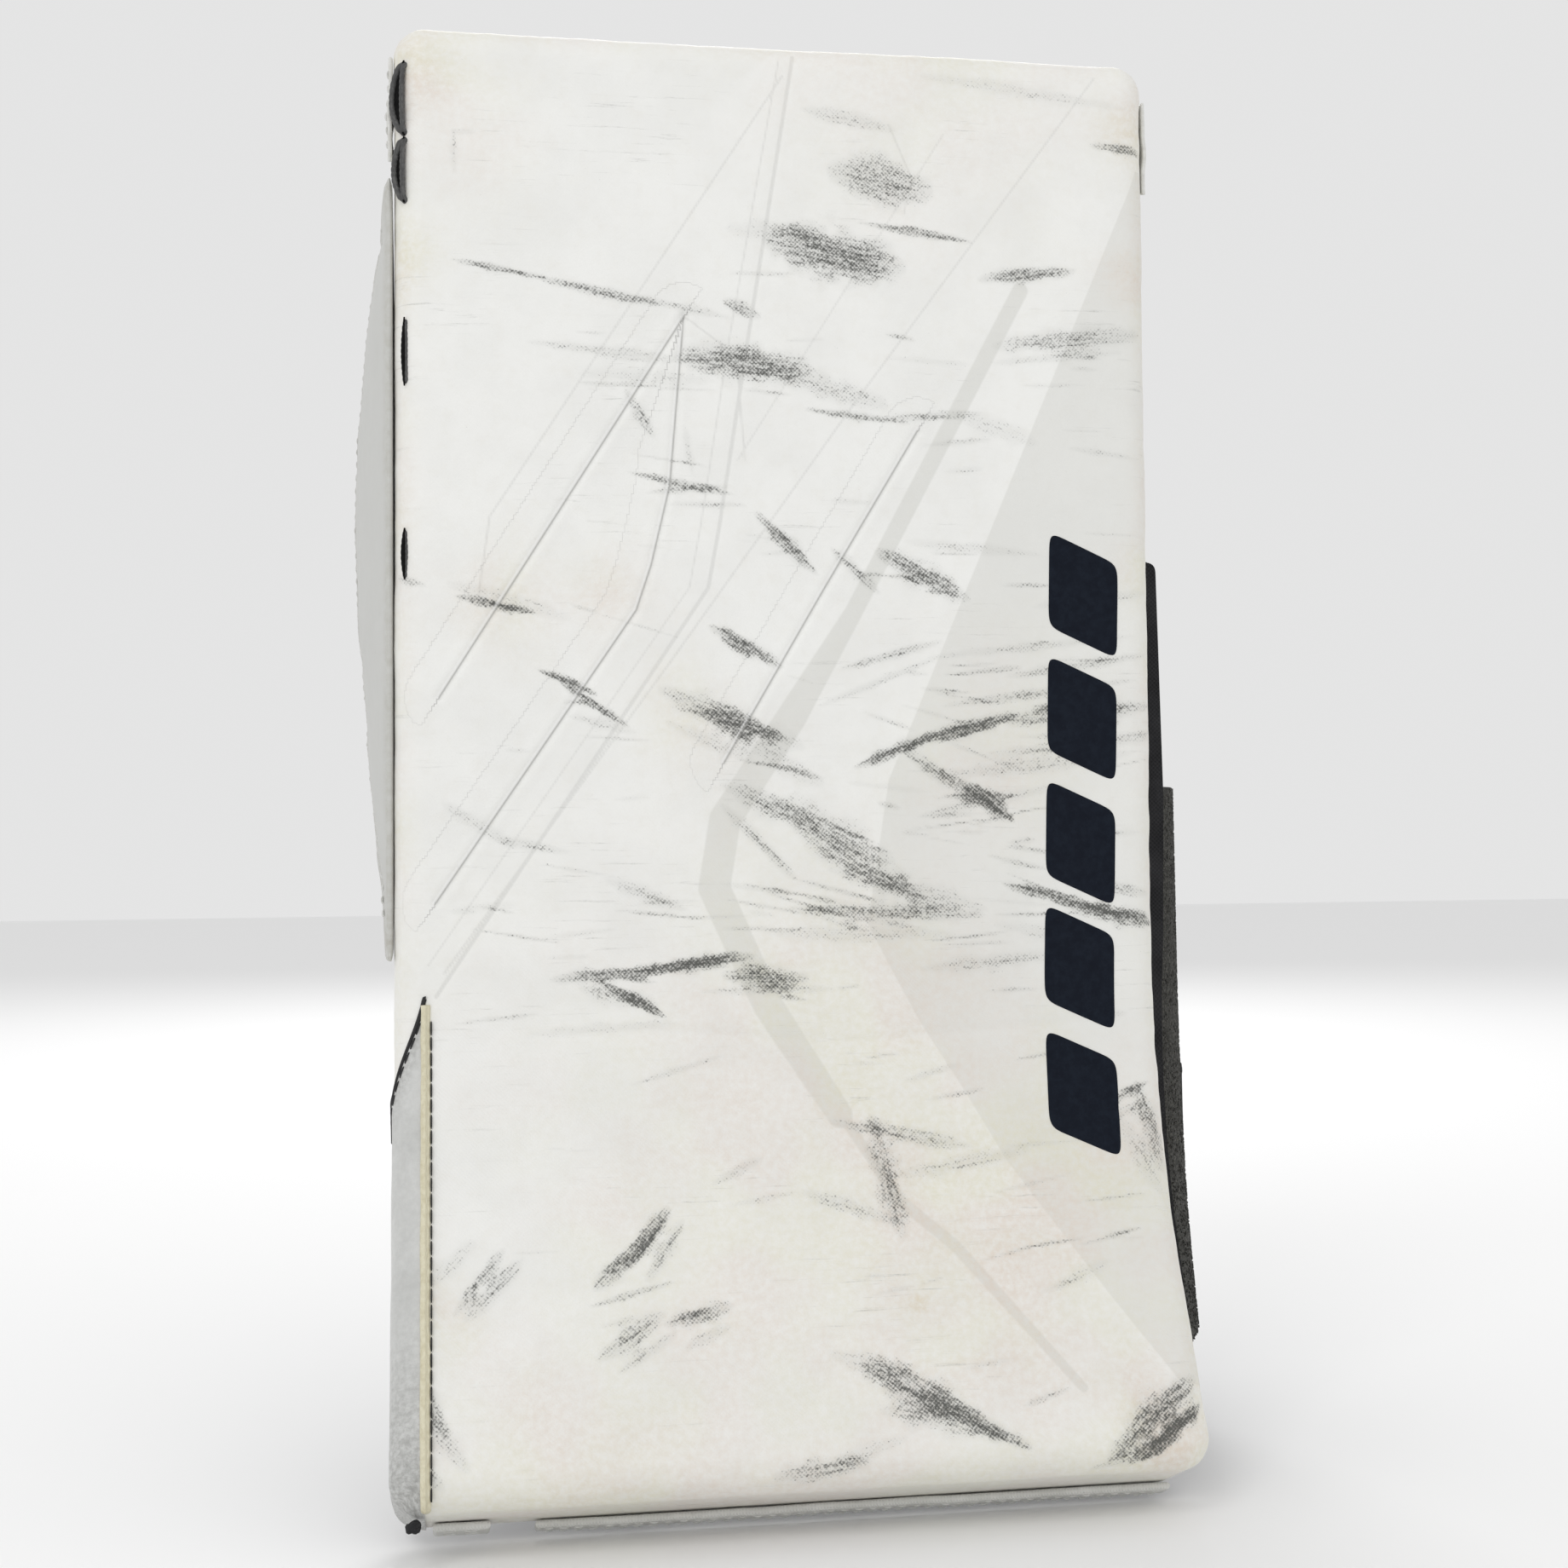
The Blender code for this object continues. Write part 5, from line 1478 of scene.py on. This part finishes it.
def add_glove(binding, gray):
    """The palm side and gussets in one sheet, bound at its edges, with a grip patch."""
    def surface(a, b):
        start, end = glove_span(GLOVE_S[0] + b)
        return glove_point(start + (end - start) * a / GLOVE_ROUND, GLOVE_S[0] + b)

    worn = lambda a, b: np.exp(-((((a - 70) / 30) ** 2) + ((b - 40) / 22) ** 2))
    size = (GLOVE_ROUND, GLOVE_S[1] - GLOVE_S[0])
    mesh = thick_sheet("glove_palm", surface, size, 1.4, 2.0, stain=worn)
    nodes = ["palm_panel", "gusset_little", "gusset_thumb"]
    add_piece("glove_palm", mesh, palm_leather(), replaces=nodes)

    tape = circle(1.0, 12) * [1.5, 1.5]
    hems = []
    for s, at, count in ((146.0, 146.4, 80), (261.0, 261.2, 70)):
        a = np.linspace(*(float(v) for v in glove_span(np.array(s))), count)
        hems.append(sweep("hem", glove_point(a, np.full_like(a, at)), tape, facing((0.0, 0.0, 1.0), a)))
    s = np.arange(146.0, 203.0, 1.2)
    hems.append(sweep("hem", glove_point(glove_span(s)[1], s), tape))
    add_piece("glove_hems", joined("glove_hems", hems), binding)

    patch = rounded([(4.0, 153.0, 8.0), (73.0, 153.0, 8.0), (73.0, 200.0, 10.0), (-4.0, 213.0, 12.0)], spacing=2.0)
    relief = lambda x, s, edge: 0.15 * smooth_noise(x, s, 16, 83) - 0.35 * bell(edge - 2.5, 0.8)
    stain = lambda x, s, edge: 0.7 + 0 * x
    mesh = plate("palm_grip_patch", patch, (81.6, 83.9), flat, 0.7, top=relief, step=2.0, stain=stain)
    grip = palm_leather("palm_patch_looks", (0.12, 0.115, 0.11), (0.06, 0.058, 0.056))
    add_piece("palm_grip_patch", mesh, grip, replaces=["palm_patch"])

    side_s = np.arange(150.0, 240.0, 0.8)
    below_thumb = side_s[side_s > 206]
    palm_a = np.arange(34.0, GLOVE_ROUND - 48, 0.8)
    rows = [outline_row(patch, 2.5, 83.7, flat)]
    for a, s in (
        (5.0, side_s), (GLOVE_ROUND - 5.0, below_thumb), (30.0, side_s), (GLOVE_ROUND - 30.0, below_thumb),
        (palm_a, 149.5),
    ):
        points, normals = on_surface(glove_point, a, s)
        inwards = (normals[:, 1:2] < 0) & (np.abs(normals[:, 1:2]) > 0.5)
        rows.append((points + normals * 0.0011, np.where(inwards, -normals, normals)))
    add_stitches("palm_stitches", rows, gray, "palm_patch", 2.4, 1.1, 0.3)


# ---------------------------------------------------------------- fingers

FINGERS = (
    ("index", -7.5, 138.0, 64.0, 0.95, 35.0, 65.0),
    ("middle", 17.5, 138.0, 64.0, 1.05, 35.0, 65.0),
    ("ring", 42.5, 138.0, 64.0, 1.0, 35.0, 65.0),
    ("little", 67.5, 138.0, 64.0, 0.84, 35.0, 65.0),
    ("thumb", -38.0, 180.0, 68.0, 0.9, 22.0, 35.0),
)
PROXIMAL, DISTAL = 46.0, 44.0
STALL_RADIUS = 12.0
KNUCKLE_BELOW = 20.0
KNUCKLE_BLEND, MIDDLE_BLEND = 16, 9
SLEEVE_COLUMNS = 44


def turning(angle):
    return np.array([0.0, math.sin(angle), math.cos(angle)])


def arc_path(points, count):
    """A smooth path through points, evenly spaced."""
    points = np.array(points)
    ends = np.concatenate([2 * points[:1] - points[1:2], points, 2 * points[-1:] - points[-2:-1]])
    t = np.linspace(0, 1, 24, endpoint=False)[:, None]
    path = []
    for a, b, c, d in zip(ends, ends[1:], ends[2:], ends[3:]):
        path.append(0.5 * (2 * b + (c - a) * t + (2 * a - 5 * b + 4 * c - d) * t**2 + (3 * b - a - 3 * c + d) * t**3))
    path = np.concatenate([*path, points[-1:]])
    at = run_length(path)
    return along_path(path, at, np.linspace(0, at[-1], count)), at[-1]


def sleeve(name, points, radius, wall, bend_at, closed_tip, seed):
    """A finger sleeve: padded on its back, creased inside its bend, closed over the tip or open at both ends."""
    centre, length = arc_path(points, 74)
    length /= MM
    tangent = unit(np.gradient(centre, axis=0))
    inner_way = np.cross(tangent, (1.0, 0.0, 0.0))
    side = facing((1.0, 0.0, 0.0), centre)
    turn = np.linspace(0, 2 * math.pi, SLEEVE_COLUMNS, endpoint=False)
    palmar = np.sin(turn)
    dorsal = np.clip(-palmar, 0, 1)
    l, w = np.meshgrid(np.linspace(0, length, len(centre)), turn, indexing="ij")
    bend = bell(l - bend_at, 11.0)
    ripple = (0.5 + 0.5 * np.cos((l - bend_at) * 2 * math.pi / 4.6)) * bend * np.clip(palmar, 0, 1) ** 0.7
    pads = 1.3 * dorsal**0.8 * np.abs(np.sin((l - bend_at) * math.pi / 15.0)) ** 0.35
    seam = 0.35 * bell(palmar, 0.10)
    r = radius - 0.9 - 1.1 * ripple + pads * (1 - 0.6 * bend) + seam + 0.28 * smooth_noise(l, w * 12, 9, seed)
    cap = 1.0
    if closed_tip:
        cap = np.sqrt(np.clip(1 - (1 - np.clip((length - l) / radius, 0, 1)) ** 2, 0.0004, 1))
    mouth = 0.93 + 0.07 * quarter_round(l / 1.2)
    grids = []
    for shrink in (0.0, wall):
        reach = np.maximum(r * cap * (1 if shrink else mouth) - shrink * np.sqrt(cap), 0.05)
        base = centre[0] + (centre - centre[0]) * (1 - shrink / length) if closed_tip and shrink else centre
        grids.append(base[:, None] + MM * (
            (reach * np.cos(w))[..., None] * side[:, None] + (reach * np.sin(w))[..., None] * inner_way[:, None]
        ))
    rows, columns = l.shape
    rims = [rim_quads(columns, rows * columns)]
    if not closed_tip:
        rims.append(rims[0][:, [0, 3, 2, 1]] + (rows - 1) * columns)
    pattern = np.tile(flat_pattern(w * radius, l), (2, 1))
    field = np.tile(np.broadcast_to(palmar, l.shape).ravel(), 2)
    quads = np.concatenate([two_sided(rows, columns, wrap=True), *rims])
    mesh = weld(quick_mesh(name, point_list(grids), quads, pattern, palmar=field), 8e-5 if closed_tip else 1e-6)
    threads = []
    for start, sign in ((0, 1.0), (SLEEVE_COLUMNS // 2, -1.0)):
        row = grids[0][2:-8 if closed_tip else -2, start]
        threads.append((row, facing((sign, 0.0, 0.0), row)))
    return mesh, threads


def add_finger(name, x, s, d, scale, tilt, bend, fabric, binding):
    """Two sleeves, the upper tucked into the lower, each with its thread, and a band round the tuck."""
    knuckle = flat(x, s, d)
    lean, turn = math.radians(tilt), math.radians(bend)
    start_way, first, second = turning(lean * 0.3), turning(lean), turning(lean + turn)
    middle = knuckle + first * PROXIMAL * scale * MM
    end = middle + second * DISTAL * scale * MM
    band = middle - first * 11.0 * MM
    proximal, distal = f"{name}_proximal", f"{name}_distal"
    lower = [knuckle - start_way * KNUCKLE_BELOW * MM, knuckle - start_way * 7 * MM, knuckle + first * 7 * MM, band]
    upper = [band - first * 7 * MM, band + first * 2 * MM, middle + second * 9 * MM, end - second * 12 * MM, end]
    gray = bpy.data.materials["gray_thread_looks"]
    for part, stall, shape, blend in (
        ("lower", "proximal", (lower, STALL_RADIUS, 1.5, KNUCKLE_BELOW, False, 101 + len(name)),
         ("root", proximal, knuckle - start_way * KNUCKLE_BLEND * MM, knuckle + first * KNUCKLE_BLEND * MM)),
        ("upper", "distal", (upper, STALL_RADIUS - 0.9, 1.4, 18.0, True, 111 + len(name)),
         (proximal, distal, middle - first * MIDDLE_BLEND * MM, middle + second * MIDDLE_BLEND * MM)),
    ):
        mesh, threads = sleeve(f"{name}_{part}_sleeve", *shape)
        piece = add_piece(f"{name}_{part}_sleeve", mesh, fabric, None, [f"{name}_stall_{stall}"])
        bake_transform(piece)
        piece = add_stitches(f"{name}_{part}_threads", threads, gray, "stall_fabric", 2.2, 1.0, 0.26, body=None)
        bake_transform(piece)

    across = np.array([1.0, 0.0, 0.0])
    inwards = np.cross(across, first)
    t = np.linspace(0, 2 * math.pi, 49)
    centre = band - first * 1.2 * MM
    ring = centre + MM * (STALL_RADIUS + 0.1) * (np.cos(t)[:, None] * across + np.sin(t)[:, None] * inwards)
    swell = 1 + 0.04 * smooth_noise(t * 10, t * 0, 4, 5)
    mesh = sweep(f"{name}_band", ring, circle(1.0, 10) * [0.85, 1.7], ring - centre, scale=swell, caps=False)
    add_piece(f"{name}_band", weld(mesh, 1e-5), binding, proximal)


# ---------------------------------------------------------------- cuff and strap

LITTLE_WALL = ((110, 36.5), (121, 45), (126.7, 53), (128.7, 64), (127, 78), (122, 90), (113.5, 99))
THUMB_WALL = ((-41.5, 36.5), (-47, 50), (-48.5, 64), (-46, 80))


class Wall:
    """A path in x and d with a smooth sideways offset, for walls that stand behind the board."""

    def __init__(self, points, place=cuff):
        flat_path, self.length = arc_path([(x, d, 0.0) for x, d in points], 160)
        self.at = np.linspace(0, self.length, len(flat_path))
        self.path = flat_path[:, :2]
        run = unit(np.gradient(self.path, axis=0))
        self.side = np.stack([-run[:, 1], run[:, 0]], 1)
        self.place = place

    def beside(self, places, offset):
        """Points at some places along the path, moved to one side."""
        columns = (np.interp(places, self.at, self.path[:, k] - offset * self.side[:, k]) for k in (0, 1))
        return list(zip(*columns))

    def point(self, a, s, offset):
        x, d = (
            np.interp(a, self.at, self.path[:, k]) + offset * np.interp(a, self.at, self.side[:, k]) for k in (0, 1)
        )
        return self.place(x, s, d)


def tufts(surface, size, count, length, seed):
    """Thousands of tiny leaning spikes standing on a surface, in one mesh."""
    rng = np.random.default_rng(seed)
    a, b = rng.uniform(0.6, size[0] - 0.6, count), rng.uniform(0.6, size[1] - 0.6, count)
    points, normal = on_surface(surface, a, b)
    other = unit(on_surface(surface, a + 0.5, b)[0] - points)
    third = np.cross(normal, other)
    lean = rng.uniform(-0.6, 0.6, (count, 2))
    tall = length * rng.uniform(0.5, 1.15, count)[:, None] * MM
    tip = points + tall * (normal + other * lean[:, :1] + third * lean[:, 1:])
    foot = points - normal * 0.0002
    corners = [foot + 0.00032 * (math.cos(t) * other + math.sin(t) * third) for t in (0.3, 2.4, 4.5)]
    one = np.array([[0, 1, 3], [1, 2, 3], [2, 0, 3], [2, 1, 0]])
    faces = (one[None] + 4 * np.arange(count)[:, None, None]).reshape(-1, 3)
    return quick_mesh("tufts", np.stack([*corners, tip], 1).reshape(-1, 3), faces)


def add_cuff(nylon, binding, gray):
    """Both cuff walls: a quilted pad inside, a cover outside, a stitched row and a binding at the free edge."""
    liner = bpy.data.materials["liner_mesh_looks"]
    pile = loop_pile()
    for side, points, top, sign, cover, slot, step, names in (
        ("little", LITTLE_WALL, CUFF_S[0], 1, pile, "loop_pile", 0.8,
         ("cuff_loop_cover", "cuff_little_core", "cuff_little_lining")),
        ("thumb", THUMB_WALL, THUMB_CUFF_TOP, -1, nylon, "black_nylon", 1.6,
         ("cuff_thumb_cover", "cuff_thumb_core", "cuff_thumb_lining")),
    ):
        wall = Wall(points)
        tall = CUFF_S[1] - top
        sheet = lambda offset, wall=wall, top=top: lambda a, b: wall.point(a, top + b, offset)
        pillow = lambda a, b, tall=tall, wall=wall: (
            0.9 * np.sin(np.clip(a / wall.length, 0, 1) * math.pi) ** 0.5
            - 1.6 * sum(bell(b - row * tall / 4, 1.8) for row in (1, 2, 3))
            + 0.3 * smooth_noise(a, b, 14, 95)
        )
        reliefs = (pillow, None) if sign > 0 else (None, pillow)
        size = (wall.length, tall)
        mesh = thick_sheet(f"cuff_{side}_pad", sheet(sign * 6.6), size, 1.6, 10.4, *reliefs, radius=4.5)
        add_piece(f"cuff_{side}_pad", mesh, liner, replaces=names[1:])
        fuzz = (lambda a, b: 0.22 * smooth_noise(a, b, 1.4, 96, 2)) if cover is pile else None
        mesh = thick_sheet(f"cuff_{side}_face", sheet(sign * 0.75), size, step, 1.5, fuzz, fuzz)
        add_piece(f"cuff_{side}_face", mesh, cover, replaces=names[:1])
        if cover is pile:
            add_piece("cuff_pile_tufts", tufts(sheet(0.05), size, 9000, 1.1, 7), pile)
        s = np.arange(top + 3, CUFF_S[1] - 3, 0.8)
        a = np.full_like(s, wall.length - 3.0)
        row = wall.point(a, s, -sign * 0.15)
        rows = [(row, row - wall.point(a, s, sign * 2.0))]
        add_stitches(f"cuff_{side}_stitches", rows, gray, slot, 2.8, 1.2, 0.36)
        s = np.linspace(top + 1, CUFF_S[1] - 1, 70)
        rim = wall.point(np.full_like(s, wall.length - 0.4), s, sign * 6.2)
        across = wall.point(wall.length, s, 0) - wall.point(wall.length, s, sign * 6.2)
        band = circle(1.0, 14) * [1.6, 5.9]
        mesh = sweep(f"cuff_{side}_binding", rim, band, np.cross(across, (0.0, 0.0, 1.0)))
        add_piece(f"cuff_{side}_binding", mesh, binding)


STRAP_TALL = STRAP_S[1] - STRAP_S[0]
STRAP_ROUTE = (
    (-51.6, 71.4), (-49.0, 88.0), (-34.0, 99.0), (0.0, 104.0), (45.0, 106.0), (85.0, 107.6), (105.0, 106.8),
)
STRAP_END = ((-50.3, 46.5), (-50.9, 56), (-51.3, 65.5))


def crossed_box(near, far):
    """Lines to stitch: a box across the strap with both its diagonals."""
    low, high = 3, STRAP_TALL - 3
    box = [(near, low), (far, low), (far, high), (near, high), (near, low), (far, high)]
    return box, [(near, high), (far, low)]


def strap_rows(wall, line, offsets):
    a, b = resample(line, 0.7)
    middle = wall.point(a, STRAP_S[0] + b, 1.0)
    rows = [wall.point(a, STRAP_S[0] + b, offset) for offset in offsets]
    return [(row, row - middle) for row in rows]


def add_strap(gray):
    """Webbing sewn to the thumb wall; it crosses the wrist and closes on the loop pile with a hook patch."""
    tones = ((0.060, 0.060, 0.064), (0.008, 0.008, 0.009))
    webbing = woven("webbing_looks", *tones, 1.6, 0.55, depth=0.0003, slant=0.785)
    little = Wall(LITTLE_WALL)
    share = np.linspace(0.52, 1.0, 7) * little.length
    strap = Wall([*STRAP_ROUTE, *little.beside(share, 3.1)[::-1]])
    anchor = Wall(STRAP_END)
    edge = lambda b: (STRAP_TALL - b) * b / STRAP_TALL
    ribs = lambda a, b: 0.10 * np.sin(a * 2 * math.pi / 1.9) + 0.25 * np.exp(-((edge(b) - 2.2) / 0.7) ** 2)
    for name, wall, body, node in (
        ("wrist_strap_webbing", strap, "strap", "wrist_strap"), ("strap_sewn_end", anchor, "root", "strap_anchor"),
    ):
        surface = lambda a, b, wall=wall: wall.point(a, STRAP_S[0] + b, 1.0)
        mesh = thick_sheet(name, surface, (wall.length, STRAP_TALL), 0.9, 1.7, ribs, ribs)
        add_piece(name, mesh, webbing, body, [node])

    hook = woven("hook_tape_looks", (0.045, 0.045, 0.048), (0.012, 0.012, 0.013), 1.1, 0.75, depth=0.0004)
    inner = Wall(little.beside(share, 1.35))
    bumps = lambda a, b: 0.18 * np.abs(np.sin(a * 2.4) * np.sin(b * 2.4))
    surface = lambda a, b: inner.point(a, STRAP_S[0] + 1.5 + b, 0.0)
    mesh = thick_sheet("strap_hook_tape", surface, (inner.length, STRAP_TALL - 3), 0.7, 0.9, bumps, bumps)
    add_piece("strap_hook_tape", mesh, hook, "strap", ["strap_hook_patch"])

    rows = []
    for start in (0.0, strap.length - 30.0):
        for line in crossed_box(3, 24):
            rows += strap_rows(strap, [(start + p, q) for p, q in line], (2.05, -0.05))
    add_stitches("strap_stitches", rows, gray, "strap_webbing", 2.4, 1.0, 0.32, body="strap")
    rows = [row for line in crossed_box(2.5, 15) for row in strap_rows(anchor, line, (2.0,))]
    add_stitches("strap_end_stitches", rows, gray, "strap_webbing", 2.4, 1.0, 0.32)


def dress_inner_layers():
    """The layers inside the board barely show at its edges, and keep their CAD shapes."""
    foam = Nodes("foam_looks", roughness=0.9)
    cells = foam.voronoi(foam.scaled(foam.position(), (1200, 1200, 1200)), 1.0)
    base = foam.mix(foam.ramp(cells, 0.1, 0.7), (0.50, 0.53, 0.57), (0.36, 0.39, 0.43))
    foam_looks = foam.finish(base, 0.9, foam.bump(cells, 0.0002, 0.8))
    sheet = Nodes("stiffener_looks", roughness=0.45)
    speckle = sheet.noise(sheet.position(), 900, 4)
    base = sheet.mix(speckle, (0.06, 0.06, 0.066), (0.13, 0.13, 0.14))
    sheet_looks = sheet.finish(base, 0.45, sheet.bump(speckle, 0.0001, 0.5))
    for node, looks in (("face_foam", foam_looks), ("rear_foam", foam_looks), ("stiffener_sheet", sheet_looks)):
        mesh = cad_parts[node].data
        mesh.materials.clear()
        mesh.materials.append(looks)


add_camera()
add_stage()
add_face()
add_graphic()
add_side_panel()
add_bottom_trim()
add_lace()
add_side_wrap()
add_corner_caps()
nylon_looks, binding_looks, gray_thread = add_back()
add_pads(nylon_looks, gray_thread)
add_glove(binding_looks, gray_thread)
finger_fabric = stall_fabric()
for sizes in FINGERS:
    add_finger(*sizes, finger_fabric, binding_looks)
add_cuff(nylon_looks, binding_looks, gray_thread)
add_strap(gray_thread)
dress_inner_layers()
